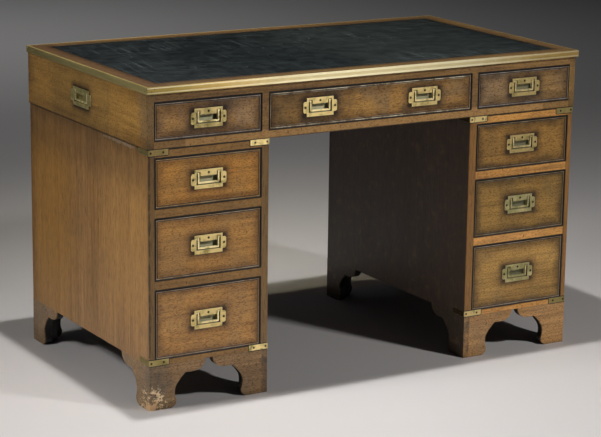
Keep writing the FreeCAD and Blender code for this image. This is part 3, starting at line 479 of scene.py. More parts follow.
    def bead(self, mix: Recipe, edge: Node, pores: Node) -> None:
        """The bead round a drawer: painted shade in quirk and gap, grey old polish, painted highlights on it.

        Args:
            mix: the material so far.
            edge: distance in from the edge of the drawer front.
            pores: the wood's pores.
        """
        start_mm, end_mm = self.rim_mm
        wear_and_glint = mix.ramp(mix.clouds(34.0, 4.0, 0.7), 0.42, 0.58, 0.0, self.glint)
        low, high = self.panel
        level = mix.inset(((-FAR, *low[1:]), (FAR, *high[1:])))
        # painted highlight along the bead's inner edge, on its level runs
        mix.lay(mix.math("MULTIPLY", mix.below(level, end_mm + 1.0, end_mm + 1.5), wear_and_glint), "#E8DACA", 0.6)
        # painted shade in the quirk
        mix.lay(mix.below(edge, end_mm, end_mm + 0.4, 0.85), "#150E09")
        old = mix.tint(mix.strength(pores, 0.4), self.rim, self.deep)
        mix.lay(mix.below(edge, start_mm + 0.4, start_mm + 0.8), old)
        # painted highlight along the crest
        crest = mix.math("MAXIMUM", mix.below(edge, *self.crest_mm, 0.4), mix.below(level, *self.crest_mm))
        mix.lay(mix.math("MULTIPLY", crest, wear_and_glint), "#FFF3E4")
        # painted shadow in the gap round the drawer
        mix.lay(mix.below(edge, *self.gap_mm, 0.95), "#0A0705")

    def chip(self, mix: Recipe, rough: Node) -> Node:
        """Bare wood and flaked polish on the lower corner of a foot.

        Args:
            mix: the material so far.
            rough: its roughness so far.

        Returns:
            The roughness with the damage in it.
        """
        grit = mix.clouds(120.0, 5.0, 0.7)
        reach = mix.math("SUBTRACT", mix.strength(grit, 0.085), mix.away(self.chipped))
        flakes = mix.math("MULTIPLY", mix.ramp(reach, -0.014, 0.004), mix.ramp(grit, 0.53, 0.57))
        mix.lay(flakes, "#FFE2B4", 0.95)
        bare = mix.ramp(reach, 0.018, 0.024)
        mix.lay(bare, "#E9C08E")
        return mix.blend(bare, rough, 0.75)


@dataclass(frozen=True)
class CarcassWood:
    """Plain inner wood, planed and never polished.

    The eye sees a dull, pale brown without a gloss, and dust and painted shade in the corners.
    """

    name: str
    grain: Grain
    deep: str = "#5E4A33"
    pale: str = "#8E7350"
    seed: float = 0.0
    lapped: Box | None = None
    lap_mm: float = 13.0
    half_pitch: float = 15 * MM
    pin: float = 2.2 * MM
    slope: float = 0.17

    def make(self) -> Material:
        """Mixes the material.

        Returns:
            The material.
        """
        mix = Recipe(self.name, IOR=1.5)
        laid = mix.placed(self.grain.drawn(0.055), (self.seed,) * 3)
        fine = mix.clouds(420.0, 4.0, 0.65, laid=laid)
        both = mix.blend(0.5, mix.clouds(45.0, 4.0, swirl=0.5, laid=laid), fine)
        mix.tone = mix.add("ValToRGB", {"Fac": both}, stops=((0.36, self.deep), (0.63, self.pale)))
        mix.lay(mix.ramp(mix.clouds(9.0, 4.0), 0.5, 0.7, 0.0, 0.45), "#4A3826")
        # dust and painted shade in the corners
        mix.lay(mix.corner_dirt_and_shade(9.0), "#1C150E", 0.6)
        if self.lapped:
            self.dovetails(mix)
        soft, _ = mix.arrises(0.8)
        return mix.finish(mix.ramp(fine, 0.0, 1.0, 0.6, 0.85), both, 0.2, soft)

    def dovetails(self, mix: Recipe) -> None:
        """Dark wedges of the drawer front's end grain between the tails of the sides.

        Args:
            mix: the material so far.
        """
        low, high = self.lapped
        place = mix.add("SeparateXYZ", {0: mix.point}).outputs
        deep = mix.math("SUBTRACT", place[1], low[1])
        along = mix.math("PINGPONG", mix.math("SUBTRACT", place[2], low[2]), self.half_pitch)
        width = mix.math("ADD", mix.strength(deep, self.slope), self.pin)
        pin = mix.ramp(mix.math("SUBTRACT", width, along), 0.0, 0.4 * MM)
        skin = mix.below(mix.inset(((low[0], -FAR, -FAR), (high[0], FAR, FAR))), 0.6, 1.0)
        near = mix.math("MULTIPLY", mix.below(deep, self.lap_mm - 0.3, self.lap_mm), skin)
        line = mix.math("MULTIPLY", mix.below(deep, self.lap_mm, self.lap_mm + 0.8), skin)
        mix.lay(mix.math("SUBTRACT", line, near), "#1C150E", 0.7)
        mix.lay(mix.math("MULTIPLY", pin, near), "#5A3E24")


@dataclass(frozen=True)
class AgedBrass:
    """Cast and filed brass, lacquer long gone: gold where hands and cloths rub it, olive where they don't.

    The eye sees a soft broken glow rather than a mirror, drawn out across the file marks, with painted
    highlights on the edges, near-black wax and painted shade in every recess, and near-black wax in every
    screw.
    """

    name: str
    bright: str
    dull: str
    tarnish: float = 0.45
    roughness: float = 0.5
    anisotropy: float = 0.85
    turns_corner: bool = False
    grime_and_shade: str = "#1D180E"
    recess_mm: float = 1.6
    seed: float = 0.0
    drawn: Point = EVEN
    screws: tuple[Point, ...] = ()
    screw_mm: Span = (2.4, 3.6)
    patches: tuple[Patch, ...] = ()

    def make(self) -> Material:
        """Mixes the material.

        Returns:
            The material.
        """
        mix = Recipe(self.name, Metallic=1.0, Anisotropic=self.anisotropy)
        laid = mix.placed(self.drawn, (self.seed, 0.0, self.seed))
        cloud = mix.clouds(42.0, 5.0, 0.62, 0.6, laid)
        patina = mix.ramp(cloud, 0.62 - 0.45 * self.tarnish, 0.80 - 0.35 * self.tarnish)
        mix.tone = mix.tint(patina, self.bright, self.dull)
        for patch in self.patches:
            mix.patch(patch)
        soft, edge = mix.arrises(0.5)
        # edges rubbed bright, with a painted highlight along them
        mix.lay(edge, "#FFF0C4", 0.75)
        mix.lay(mix.scatter(4.2, (0.06, 0.16), 0.3), self.grime_and_shade, 0.45)
        for screw in self.screws:
            mix.lay(mix.below(mix.away(screw), *self.screw_mm, 0.85), self.grime_and_shade)
        # wax and painted shade in every recess
        recess_dirt_and_shade = mix.corner_dirt_and_shade(self.recess_mm)
        mix.lay(recess_dirt_and_shade, self.grime_and_shade, 0.9)
        rough = mix.blend(recess_dirt_and_shade, mix.ramp(cloud, 0.3, 0.75, self.roughness, self.roughness + 0.2), 0.8)
        # the file marks lie level; their axis leans a little, so that level faces have them too
        along = mix.vector("CROSS_PRODUCT", soft, (0.0, 0.02, 1.0))
        mix.feed(mix.shader, "Tangent", mix.vector("CROSS_PRODUCT", along, soft))
        if self.turns_corner:
            # the desk's ends were rubbed every way, so only faces that look forward keep file marks
            facing = mix.vector("ABSOLUTE", mix.add("NewGeometry").outputs["Normal"])
            facing = mix.add("SeparateXYZ", {0: facing}).outputs[0]
            mix.feed(mix.shader, "Anisotropic", mix.ramp(facing, 0.5, 0.8, self.anisotropy, 0.0))
        return mix.finish(rough, mix.clouds(500.0, 3.0, laid=laid), 0.03, soft)


@dataclass(frozen=True)
class WritingLeather:
    """Skiver leather dyed blue-black, pasted down and worn by writing.

    The eye sees a nearly black skin with a blue cast, grey scuffs that run aslant where papers were
    drawn across it, a fine grain, and crumbs of lost dye.
    """

    hide: float = 650.0  # cells of the hide to the metre

    def make(self) -> Material:
        """Mixes the material.

        Returns:
            The material.
        """
        mix = Recipe("blue_black_skiver", IOR=1.33)
        mottle = mix.clouds(26.0, 6.0, 0.66)
        mix.tone = mix.add("ValToRGB", {"Fac": mottle}, stops=((0.36, "#0D1111"), (0.66, "#1E2525")))
        # painted sheen: a broad paler patch on the right of the leather
        painted_sheen = mix.outset(((0.15, -0.25, 0.0), (0.42, 0.2, 1.0)))
        mix.lay(mix.below(painted_sheen, 0.0, 260.0, 0.6), mix.tint(mottle, "#181D1D", "#3E4542"))
        rubbed = mix.outset(((-0.56, -0.3, 0.0), (-0.42, 0.2, 1.0)))
        mix.lay(mix.below(rubbed, 0.0, 160.0, 0.2), mix.tint(mottle, "#181D1F", "#444849"))
        wear_and_glint = mix.math("MAXIMUM", self.scuffs(mix, 97.0, 620.0, 0.006, 0.60, 4.5, 0.0),
                        self.scuffs(mix, 14.0, 380.0, 0.008, 0.67, 6.5, 3.0))
        mix.lay(wear_and_glint, "#97A2A2", 0.34)
        mix.lay(mix.scatter(19.0, (0.05, 0.1), 0.35), "#B5B5AA", 0.8)
        hide = mix.add("TexVoronoi", {"Vector": mix.point, "Scale": self.hide}, feature="DISTANCE_TO_EDGE")
        rough = mix.ramp(mottle, 0.35, 0.7, 0.46, 0.62)
        return mix.finish(rough, mix.math("SUBTRACT", mix.strength(hide, 0.5), wear_and_glint))

    def scuffs(self, mix: Recipe, degrees: float, scale: float, drawn: float, rare: float, spread: float,
               seed: float) -> Node:
        """Long thin marks that lie one way and come in drifts.

        Args:
            mix: the material so far.
            degrees: their direction.
            scale: how fine they are.
            drawn: scale along them, below 1.
            rare: noise level above which a mark shows.
            spread: how often the drifts come.
            seed: start of the pattern.

        Returns:
            The mask, 1 on a mark.
        """
        turned = mix.placed(turn=(0.0, 0.0, math.radians(degrees)))
        slant = mix.placed((drawn, 1.0, 1.0), (seed, seed, 0.0), point=turned)
        marks = mix.ramp(mix.clouds(scale, 1.5, 0.6, laid=slant), rare, rare + 0.06)
        drift = mix.placed(start=(seed + 0.4, 0.0, 1.0))
        return mix.math("MULTIPLY", marks, mix.ramp(mix.clouds(spread, 2.0, laid=drift), 0.46, 0.66))


@dataclass(frozen=True)
class PaperSweep:
    """Matt studio paper off the roll: plain and pale, with no gloss and hardly a fibre to see."""

    colour: str = "#E2DDDA"

    def make(self) -> Material:
        """Mixes the material.

        Returns:
            The material.
        """
        mix = Recipe("pale_studio_paper", IOR=1.45)
        fibre = mix.clouds(90.0, 3.0)
        mix.tone = mix.tint(mix.strength(fibre, 0.03), self.colour, "#CFCBC8")
        return mix.finish(mix.ramp(fibre, 0.0, 1.0, 0.85, 0.95))


Finish = Mahogany | CarcassWood | AgedBrass | WritingLeather | PaperSweep
BACKS = Mahogany("backs", Grain.HEIGHT, deep="#7E5930", body="#B08249", pale="#C69759", seed=13.1,
                 roughness=0.5, marks=0.3)


def dress(finish: Finish, *names: str) -> None:
    """Gives nodes of the model their finish.

    Args:
        finish: the finish.
        names: the nodes that have it.
    """
    material = finish.make()
    for name in names:
        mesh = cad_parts[name].data
        mesh.materials.clear()
        mesh.materials.append(material)
        LOG.info("%s: %s", name, material.name)


def put(name: str, data: bpy.types.ID) -> bpy.types.Object:
    """Puts a new object with this mesh, light or camera into the scene."""
    bpy.context.scene.collection.objects.link(thing := bpy.data.objects.new(name, data))
    return thing


def new_piece(name: str, form: bmesh.types.BMesh, finish: Finish) -> bpy.types.Object:
    """Turns a finished form into an object.

    Args:
        name: its name.
        form: its form, in the desk's own frame.
        finish: its finish.

    Returns:
        The object.
    """
    mesh = bpy.data.meshes.new(name)
    form.to_mesh(mesh)
    form.free()
    mesh.materials.append(finish.make())
    LOG.info("%s: %d faces", name, len(mesh.polygons))
    return put(name, mesh)


def opening(name: str) -> Box:
    """The box that a drawer front fills in the face of the desk."""
    low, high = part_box(f"{name}_drawer_front")
    return (low.x, -FAR, low.z), (high.x + 1.2 * MM, high.y, high.z + 0.8 * MM)


@dataclass
class WritingTop:
    """The writing surface: board, crossbanding, leather and brass edge."""

    cell: float = 9 * MM
    corner: float = 9 * MM
    corner_steps: int = 6
    thickness: float = 1.4 * MM
    swell: float = 0.16 * MM  # how far the skin rises and falls

    def leather(self) -> None:
        """A thin skin with rounded corners that follows the slightly uneven board under it."""
        low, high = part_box("leather_writing_surface")
        inset = Vector((self.corner, self.corner, 0.0))
        start, end = low + inset, high - inset
        rim = []
        turns = (end.x, end.y), (start.x, end.y), (start.x, start.y), (end.x, start.y)
        for number, (x, y) in enumerate(turns):
            for step in range(self.corner_steps + 1):
                angle = math.radians(90 * number + 90 * step / self.corner_steps)
                rim.append(Vector((x + self.corner * math.cos(angle), y + self.corner * math.sin(angle))))
        width, depth = high.x - low.x, high.y - low.y
        across, deep = int(width / self.cell), int(depth / self.cell)
        inner = [Vector((low.x + width * (i + 0.5) / across, low.y + depth * (j + 0.5) / deep))
                 for i in range(1, across - 1) for j in range(1, deep - 1)]
        ring, inside_only, weld = list(range(len(rim))), 1, 1e-6
        places, _, triangles, *_ = geometry.delaunay_2d_cdt(rim + inner, [], [ring], inside_only, weld)
        sheet = bmesh.new()
        points = [sheet.verts.new((x, y, high.z - self.swell + self.swell * self.rise(x, y)))
                  for x, y in places]
        for triangle in triangles:
            sheet.faces.new([points[number] for number in triangle])
        edges = [edge for edge in sheet.edges if edge.is_boundary]
        skirt = bmesh.ops.extrude_edge_only(sheet, edges=edges)["geom"]
        for point in [part for part in skirt if isinstance(part, bmesh.types.BMVert)]:
            point.co.z = high.z - self.thickness
        for face in sheet.faces:
            face.smooth = True
        bmesh.ops.recalc_face_normals(sheet, faces=sheet.faces)
        piece = new_piece("writing_leather_skin", sheet, WritingLeather())
        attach(piece, "case")
        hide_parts("leather_writing_surface")

    def rise(self, x: float, y: float) -> float:
        """How high the skin lies at a point, from -1 to 1: broad waves and finer ones."""
        broad, fine = (noise.noise(Vector((x * k, y * k, start))) for k, start in ((9.0, 3.1), (34.0, 8.4)))
        return 0.75 * broad + 0.25 * fine

    def make(self) -> None:
        """Builds the leather and dresses the wood and brass round it."""
        self.leather()
        dress(CarcassWood("top_core_boards", Grain.WIDTH), "top_board")
        dress(Mahogany(
            "crossbanding", Grain.WIDTH, deep="#5C472B", body="#82633A", pale="#9A7847",
            cloud="#6C5640", marks=0.15, streak_mm=4.0, roughness=0.4, halo=0.5,
            fittings=(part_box("leather_writing_surface"),),
            patches=(Patch("#6D4F37", 0.85, 8.0, x=(-FAR, -0.545)),)), "top_crossbanding")
        patches = (
            # painted highlight: the middle of the front strip, where it mirrors the front-right lamp
            Patch("#FFF4C8", 1.0, 300.0, 0.1, x=(-0.15, 0.25), y=(-FAR, -0.3)),
            Patch("#AB9A58", 0.85, 160.0, 0.2, x=(-FAR, -0.56)),
            # painted shade: a darker band across the front strip's face
            Patch("#B8984F", 0.4, 1.6, 0.0, z=(0.7515, 0.7565)),
            # painted highlights: fine lines along the lip and the lower edge
            Patch("#FFF4CE", 0.85, 0.7, 0.0, z=(0.7592, 0.7606)),
            Patch("#FFF4CE", 0.6, 0.7, 0.0, z=(0.7480, 0.7498)),
            # painted light on the strip's left flank
            Patch("#CDBF84", 0.9, 1.5, 0.0, x=(-FAR, -0.6022), y=(-0.334, FAR)))
        pins = ((-0.599, -0.3373, 0.757), (-0.592, -0.3373, 0.752), (-0.585, -0.3373, 0.757),
                (-0.6033, -0.331, 0.757), (-0.6033, -0.324, 0.752), (-0.597, -0.331, 0.762))
        dress(AgedBrass(
            "drawn_brass_edge", bright="#E6C680", dull="#C4AA68", tarnish=0.3, recess_mm=1.5,
            turns_corner=True, drawn=(0.12, 0.12, 1.0), patches=patches, screws=pins, screw_mm=(0.6, 1.5)),
            "brass_edge_strips")


@dataclass
class Case:
    """The shallow case that carries the top and its three drawers."""

    joint_shadow: float = 618.5 * MM  # below this height a painted shadow line darkens the case, where it sits on the pedestals
    handle: Span = (0.66, 0.703)  # heights of the wood round the handle, darkened by old polish and a painted shadow

    def make(self) -> None:
        """Dresses the case's wood and its carrying handles."""
        low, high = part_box("case_end_panels")
        edge = (low.x - FAR, low.y - FAR, low.z), (high.x + FAR, high.y, high.z + 0.02)
        start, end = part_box("left_carrying_bail")
        grip = (-FAR, start.y, self.handle[0]), (FAR, end.y, self.handle[1])
        # painted shadow line where the case sits on the pedestals
        joint_shadow = Patch("#0C0805", 0.85, 1.4, cover=1.0, z=(0.0, self.joint_shadow))
        dress(Mahogany(
            "case_ends", Grain.DEPTH, deep="#87612A", body="#B58741", pale="#CC9C50",
            cloud="#967642", seed=1.3, panel=edge, fittings=(grip,), halo=0.85, marks=0.12, pores=0.5,
            fade=(1.04, 1.06, 1.04),
            patches=(Patch("#6E5A3F", 0.7, 40.0, 0.5, y=(-FAR, -0.32)),
                     Patch("#A58F76", 0.2, 45.0, 0.6, x=(-FAR, -0.59), y=(-0.32, -0.31), z=(0.67, 0.73)),
                     Patch("#7C6334", 0.5, 60.0, 0.5, x=(-FAR, -0.59), y=(-0.1, 0.16), z=(0.62, 0.75)),
                     joint_shadow)), "case_end_panels")
        dress(Mahogany(
            "case_frame", Grain.WIDTH, deep="#72532B", body="#A47C46", pale="#B99154", seed=2.1,
            pores=0.45, marks=0.45, wear_and_glint_amount=0.35,
            openings=tuple(opening(f"frieze_{place}") for place in ("left", "centre", "right")),
            patches=(Patch("#D7A563", 0.9, 6.0, x=(-0.5, 0.5), z=(0.0, 0.637)),
                     Patch("#1C120A", 0.8, 2.0, 0.7, x=(-FAR, -0.5982), z=(0.62, 0.744)),
                     joint_shadow)), "case_face_frame")
        dress(CarcassWood("case_inner_wood", Grain.DEPTH, seed=3.0), "case_partitions_and_runners")
        # painted shade: the case's underside over the kneehole is near-black
        dress(CarcassWood("case_bottom_wood", Grain.WIDTH, deep="#221E1B", pale="#3A352F", seed=4.0),
              "case_bottom_board")
        dress(replace(BACKS, name="case_back", grain=Grain.WIDTH, seed=5.2), "case_back_board")
        dress(AgedBrass("carrying_plate_brass", bright="#E6D89C", dull="#B8AF74", tarnish=0.6, seed=0.4,
                        anisotropy=0.0), "carrying_handle_plates")
        dress(AgedBrass("carrying_bail_brass", bright="#FFF4C8", dull="#D8CE94", tarnish=0.4, seed=0.9,
                        anisotropy=0.0), *(f"{side}_carrying_bail" for side in SIDES))


@dataclass
class Pedestals:
    """The two drawer pedestals on their bracket feet."""

    knee: float = 298 * MM
    face: float = -327.5 * MM
    back: float = 335 * MM
    feet: float = 125 * MM
    wall: float = 4.5 * MM
    corners: Span = (284 * MM, 596.5 * MM)  # of either pedestal, from the desk's middle
    strap: Span = (50 * MM, 13.5 * MM)
    strap_feet: Span = (108 * MM, 603.5 * MM)
    strap_screws: Span = (5 * MM, 37 * MM)  # from the corner
    screw_face: float = -329.6 * MM

    def spots(self) -> list[Point]:
        """Corners that have a strap: place across, which way the strap runs, and height."""
        inner, outer = self.corners
        return [(side * across, side * way, foot) for side in (-1, 1)
                for across, way in ((inner, 1), (outer, -1)) for foot in self.strap_feet]

    def straps(self) -> tuple[Box, ...]:
        """The straps' front legs, less 1 mm all round.

        Returns:
            Their boxes.
        """
        leg, tall = self.strap
        found = []
        for x, way, foot in self.spots():
            start, end = sorted((x - way * 2 * MM, x + way * leg))
            found.append(((start + MM, -FAR, foot + MM), (end - MM, SKIN, foot + tall - MM)))
        return tuple(found)

    def hollow_shade(self) -> tuple[Patch, ...]:
        """Painted shade, near-black, on the inside of each foot and on the underside above it.

        Returns:
            A patch for each pedestal.
        """
        spans = [sorted(side * across for across in self.corners) for side in (-1, 1)]
        return tuple(Patch("#1F1C1A", ragged=0.0, cover=1.0, x=(start + self.wall, end - self.wall),
                           y=(self.face + self.wall, self.back - self.wall), z=(0.0, self.feet))
                     for start, end in spans)

    def make(self) -> None:
        """Dresses panels, boards, rails, straps and feet."""
        front, kneehole = (-FAR, self.face), {"x": (-self.knee, self.knee), "y": (self.face, FAR)}
        # painted shade on the faces in the kneehole, darkest on the left pedestal's inner side
        dark = Patch("#58463A", cover=0.95, **kneehole)
        unseen = Patch("#3A342E", cover=0.97, x=(-self.knee, 0.0), y=(self.face + 3 * MM, FAR))
        # painted shadow line where the pedestals meet the case
        joint_shadow = Patch("#0C0805", 0.9, 1.4, cover=1.0, z=(0.6155, FAR))
        wear = Patch("#C9B8A2", 0.6, 2.4, 0.9, x=(-FAR, -0.594), y=(SKIN, -0.08), z=(0.6085, 0.6125))
        olive = Patch("#785C34", 1.0, 2.0, x=(-FAR, 0.0), y=front)
        panels = (
            dark, unseen, olive,
            Patch("#AC7936", 1.0, 2.0, x=(0.0, FAR), y=front),
            Patch("#C08A34", 0.75, 200.0, 0.1, x=LEFT_END, y=(0.2, FAR), z=(0.1, 0.5)),
            Patch("#DDA65C", 0.6, 220.0, 0.1, x=LEFT_END, y=(-0.25, -0.20), z=(0.30, 0.50)),
            Patch("#694F2C", 0.65, 90.0, 0.2, x=LEFT_END, z=(0.56, 0.62)),
            Patch("#856638", 0.9, 9.0, x=(-FAR, -0.583), y=front, z=(0.12, 0.62)),
            Patch("#120C07", 0.85, 2.2, 0.8, x=(-FAR, -0.5942), y=(-FAR, self.face + 0.6 * MM),
                  z=(0.13, 0.6)),
            Patch("#A07C48", 0.8, 6.0, x=(-0.305, 0.0), y=front),
            wear, joint_shadow)
        feet = (
            # painted shade on the feet in the kneehole
            Patch("#4E3F2F", cover=0.97, **kneehole), unseen,
            Patch("#4A433A", 0.7, 50.0, 0.4, x=(-FAR, -0.575), y=front, z=(0.06, 0.09)),
            *self.hollow_shade())
        tones = (("#6D4E2F", "#8D6B44", "#B48B5C", "#7D674C", (1.3, 1.34, 1.32)),
                 ("#8A623A", "#C69559", "#E1AC6F", "#9D805C", (1.2, 1.22, 1.26)))
        straps = self.straps()
        fronts = {side: tuple(opening(f"{side}_{level}") for level in LEVELS) for side in SIDES}
        for number, (side, (deep, body, pale, cloud, fade)) in enumerate(zip(SIDES, tones)):
            low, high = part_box(f"{side}_pedestal_sides")
            edge = (low.x - FAR, low.y - FAR, low.z - 0.05), (high.x + FAR, high.y, high.z)
            dress(Mahogany(
                f"{side}_panels", Grain.HEIGHT, deep="#76522B", body="#AE8048", pale="#CB9C5C",
                cloud="#967146", cloudy=0.5, seed=6.0 + number, ribbon_mm=34.0, streak_mm=7.0,
                drawn=(0.03, 0.1), panel=edge, panel_mm=(0.0, 45.0), shade="#7D6C54", marks=0.1, pores=0.4,
                openings=fronts[side] + straps, patches=panels), f"{side}_pedestal_sides")
            dress(Mahogany(
                f"{side}_feet", Grain.WIDTH, deep, body, pale, cloud=cloud, cloudy=0.6, seed=8.0 + number,
                fade=fade, marks=0.5, wear_and_glint="#CDB088", openings=straps, patches=feet,
                chipped=(low.x, low.y, 0.0) if side == "left" else None), f"{side}_bracket_feet")
        sunny = Patch("#FFBC72", 0.4, 50.0, x=(0.3, 0.5), y=front, z=(0.29, 0.33))
        for name, seed in (("pedestal_cap_and_base_boards", 10.4), ("pedestal_drawer_rails", 11.7)):
            dress(Mahogany(
                name, Grain.WIDTH, deep="#9C6A33", body="#D99B50", pale="#EDAD5D", seed=seed,
                pores=0.45, marks=0.4, fade=(1.27, 1.31, 1.25),
                patches=(dark, olive, wear, sunny, joint_shadow, *self.hollow_shade()),
                openings=straps + fronts["left"] + fronts["right"]), name)
        dress(CarcassWood("runner_wood", Grain.DEPTH, seed=12.0), "pedestal_drawer_runners")
        dress(BACKS, "pedestal_back_panels")
        dress(CarcassWood("dowel_wood", Grain.HEIGHT, seed=14.0), "locating_dowels")
        self.metal()

    def metal(self) -> None:
        """Dresses the straps: brown above, drab below, dull on the sides, painted shade in the kneehole."""
        middle = self.strap[1] / 2
        screws = tuple((x + way * step, self.screw_face, foot + middle)
                       for x, way, foot in self.spots() for step in self.strap_screws)
        dress(AgedBrass(
            "strap_brass", bright="#FAE2A0", dull="#A0955A", tarnish=0.35, turns_corner=True, seed=2.2,
            screws=screws, screw_mm=(2.0, 3.5),
            patches=(Patch("#8E7A4C", 0.9, 5.0, 0.0, x=LEFT_END, z=(0.55, FAR)),
                     Patch("#A2925C", 0.8, 5.0, 0.0, x=LEFT_END, z=(0.0, 0.2)),
                     Patch("#B5A468", 0.8, 5.0, 0.0, x=(0.5, FAR)),
                     Patch("#9A8E5C", 0.9, 1.0, 0.0, y=(SKIN, FAR)),
                     # painted shade on the straps in the kneehole
                     Patch("#50442F", 0.95, 0.6, 0.0, x=(-0.2838, 0.2838), y=(SKIN, FAR)))),
              "brass_corner_straps")


@dataclass
class Drawer:
    """One drawer: moulded front, dovetailed box, recessed pull and swinging bail."""

    name: str
    pulls: tuple[str, ...]
    wood: Mahogany
    brass: AgedBrass
    screw_reach: float = 40.5 * MM
    screw_height: float = 15.2 * MM
    plate_face: float = -329.7 * MM
    plate: Span = (42 * MM, 18 * MM)
    cup: float = 4 * MM

    def make(self) -> None:
        """Dresses the drawer's four kinds of pieces."""
        front, box = f"{self.name}_drawer_front", f"{self.name}_drawer_box"
        low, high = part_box(front)
        bails = [f"{self.name}_{pull}_bail" for pull in self.pulls]
        middles = [sum(corner.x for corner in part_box(bail)) / 2 for bail in bails]
        z = (low.z + high.z) / 2
        across, tall = self.plate
        fittings = tuple(((x - across, -FAR, z - tall), (x + across, FAR, z + tall)) for x in middles)
        dress(replace(self.wood, panel=((low.x, -FAR, low.z), (high.x, FAR, high.z)), fittings=fittings,
                      corner_dirt_shade=(2.0, 0.5)), front)
        dress(CarcassWood(f"{self.name}_box_wood", Grain.DEPTH, seed=self.wood.seed, lapped=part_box(box)), box)
        screws = tuple((x + right, self.plate_face, z + up) for x in middles for right, up in (
            (-self.screw_reach, 0.0), (self.screw_reach, 0.0), (0.0, self.screw_height)))
        brass = replace(self.brass, screws=screws)
        # inside the cup: patina, made pale as painted light where light reaches into it
        cup = Patch("#B4B294", 0.9, 3.0, 0.0, y=(self.plate_face + self.cup, FAR))
        plate = "pull_plates" if len(self.pulls) > 1 else "pull_plate"
        dress(replace(brass, patches=(cup,)), f"{self.name}_{plate}")
        dress(replace(brass, name=f"{self.brass.name}_bail", bright="#FFECB4"), *bails)


def drawers() -> list[Drawer]:
    """The nine drawers, each with its own boards: no two faded alike.

    Returns:
        The drawers.
    """
    bright = AgedBrass("pull_brass", bright="#E6CE8E", dull="#B4A468", tarnish=0.3)
    drab = AgedBrass("pull_brass", bright="#CDB77C", dull="#9A8B58")
    olive = AgedBrass("pull_brass", bright="#EEE0A8", dull="#C4BC84", tarnish=0.6)
    frieze = Mahogany(
        "front", Grain.WIDTH, deep="#815E33", body="#C18F50", pale="#DAA863", cloud="#91765B", cloudy=0.7,
        cloud_scale=12.0, shade="#7A6A58", rim="#9A7F66", panel_mm=(5.0, 34.0), panel_shade=0.75,
        scratches=0.3)
    left = replace(
        frieze, deep="#9A6C35", body="#D1944B", pale="#E2A759", cloud="#B28754", cloudy=0.5, shade="#6C5D54",
        rim="#A98355", panel_mm=(4.0, 30.0), panel_shade=0.6, glint=0.32, scratches=0.08, marks=0.45)
    right = replace(
        frieze, deep="#8A672F", body="#C6964A", pale="#DCA95A", cloud="#9C7B46", cloudy=0.6, shade="#6C6250",
        rim="#907A58", panel_mm=(5.0, 32.0), panel_shade=0.8, glint=0.28, scratches=0.15, marks=0.4)
    dusky = Patch("#6E5530", 0.7, 150.0, x=(-0.28, -0.16))
    hazy = Patch("#B79C80", 0.5, 30.0, 0.5, x=(-0.36, -0.33), z=(0.67, 0.72))
    ashen = Patch("#A2907E", 0.3, 60.0, 0.4, x=(0.33, 0.38), z=(0.66, 0.71))
    plan = (("frieze_left", frieze, drab, {"fade": (1.07, 1.1, 1.13), "patches": (hazy,)}),
            ("frieze_centre", frieze, bright, {"fade": (1.2, 1.22, 1.03), "glint": 1.0, "patches": (dusky,)}),
            ("frieze_right", frieze, bright, {"fade": (0.9, 1.01, 1.15), "patches": (ashen,)}),
            ("left_upper", left, bright, {"fade": (1.18, 1.18, 0.93)}),
            ("left_middle", left, bright, {"fade": (1.08, 1.15, 1.17)}),
            ("left_lower", left, bright, {"fade": (1.06, 1.14, 1.25)}),
            ("right_upper", right, bright, {"fade": (0.92, 0.88, 0.76)}),
            ("right_middle", right, olive, {"fade": (0.88, 0.91, 0.85)}),
            ("right_lower", right, olive, {"fade": (1.17, 1.22, 1.33)}))
    return [Drawer(name, ("left_pull", "right_pull") if name == "frieze_centre" else ("pull",),
                   replace(wood, name=f"{name}_front", seed=20.0 + 1.37 * number, **changes),
                   replace(brass, name=f"brass_{name}_pull", seed=1.0 + 0.83 * number))
            for number, (name, wood, brass, changes) in enumerate(plan)]


@dataclass(frozen=True)
class Softbox:
    """A soft studio light that faces a point."""

    name: str
    place: Point
    aim: Point
    size: float
    power: float
    spread: float = 180.0
    tint: str = "#FFFFFF"

    def make(self) -> None:
        """Sets the light up."""
        name = f"{self.name}_softbox"
        light = bpy.data.lights.new(name, "AREA")
        light.shape = "SQUARE"
        light.size = self.size
        light.energy = self.power
        light.spread = math.radians(self.spread)
        light.color = linear(self.tint)[:3]
        lamp = put(name, light)
        lamp.location = self.place
        lamp.rotation_euler = (Vector(self.aim) - Vector(self.place)).to_track_quat("-Z", "Y").to_euler()


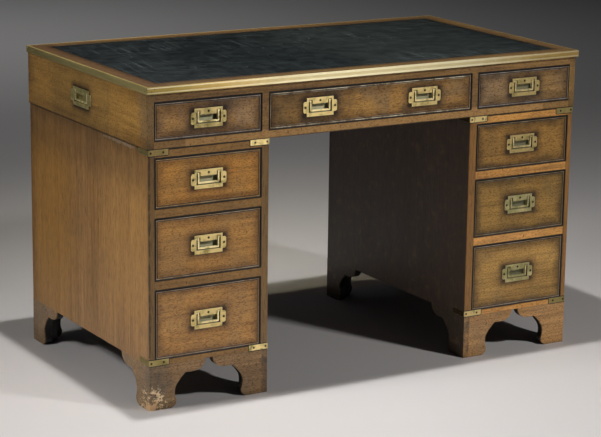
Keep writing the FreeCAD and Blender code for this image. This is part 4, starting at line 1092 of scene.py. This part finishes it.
@dataclass
class Studio:
    """Floor, lights and camera."""

    floor_half: float = 30.0
    floor_cells: int = 24
    room_tint: str = "#A9ACB4"
    room_strength: float = 0.03
    place: Point = (-2.724070, -4.599215, 1.615933)
    yaw: float = -0.5343963
    pitch: float = -0.2373182
    roll: float = 0.0127996
    focal_px: float = 2159.5057
    image_width: int = 601
    sensor: float = 36.0
    sight: float = 200.0
    lights: tuple[Softbox, ...] = (
        Softbox("overhead", (-0.435, -0.221, 3.085), (-0.1, -0.65, 0.0), 0.09, 17.6, 110.0),
        Softbox("front_right", (1.34, -2.58, 2.55), (0.0, -0.3, 0.4), 0.25, 37.0),
        Softbox("left", (-2.60, -0.10, 2.0), (-0.6, -0.5, 0.2), 0.4, 4.6, 70.0),
        Softbox("warm_back", (-0.3, 0.085, 3.085), (0.3, 0.95, 0.0), 0.06, 0.72, 42.0, "#FFF4D2"),
        Softbox("far_floor", (1.0, 5.0, 4.2), (1.0, 5.0, 0.0), 2.0, 10.9, 96.0, "#F7FAFC"),
        Softbox("back_left_floor", (-2.6, 4.2, 3.2), (-2.6, 4.2, 0.0), 1.0, 3.2, 90.0, "#F7FAFC"),
        Softbox("near_floor", (2.6, -4.4, 2.6), (2.6, -4.4, 0.0), 1.0, 16.0, 90.0))

    def camera(self) -> None:
        """Stands the camera at its measured place."""
        ahead = Vector((-math.sin(self.yaw) * math.cos(self.pitch), math.cos(self.yaw) * math.cos(self.pitch),
                        math.sin(self.pitch)))
        level = Vector((math.cos(self.yaw), math.sin(self.yaw), 0.0))
        upward = level.cross(ahead)
        right = level * math.cos(self.roll) + upward * math.sin(self.roll)
        up = upward * math.cos(self.roll) - level * math.sin(self.roll)
        data = bpy.data.cameras.new("camera")
        data.sensor_width = self.sensor
        data.lens = self.sensor * self.focal_px / self.image_width
        data.clip_end = self.sight
        eye = put("camera", data)
        eye.matrix_world = Matrix((right, up, -ahead)).transposed().to_4x4()
        eye.location = self.place
        bpy.context.scene.camera = eye

    def floor(self) -> None:
        """A wide sheet of paper under the feet."""
        sheet = bmesh.new()
        cells = self.floor_cells
        bmesh.ops.create_grid(sheet, x_segments=cells, y_segments=cells, size=self.floor_half)
        new_piece("studio_floor", sheet, PaperSweep())

    def make(self) -> None:
        """Sets up floor, lights, room light and camera."""
        self.floor()
        for light in self.lights:
            light.make()
        world = bpy.data.worlds.new("dim_room")
        world.use_nodes = True
        room = world.node_tree.nodes["Background"]
        room.inputs["Color"].default_value = linear(self.room_tint)
        room.inputs["Strength"].default_value = self.room_strength
        bpy.context.scene.world = world
        bpy.context.scene.view_settings.view_transform = "Standard"
        self.camera()


def main() -> None:
    """Builds the desk's sub-assemblies and the studio."""
    logging.basicConfig(level=logging.INFO, format="%(name)s %(message)s")
    for part in (WritingTop(), Case(), Pedestals(), *drawers(), Studio()):
        part.make()


if __name__ == "__main__":
    main()
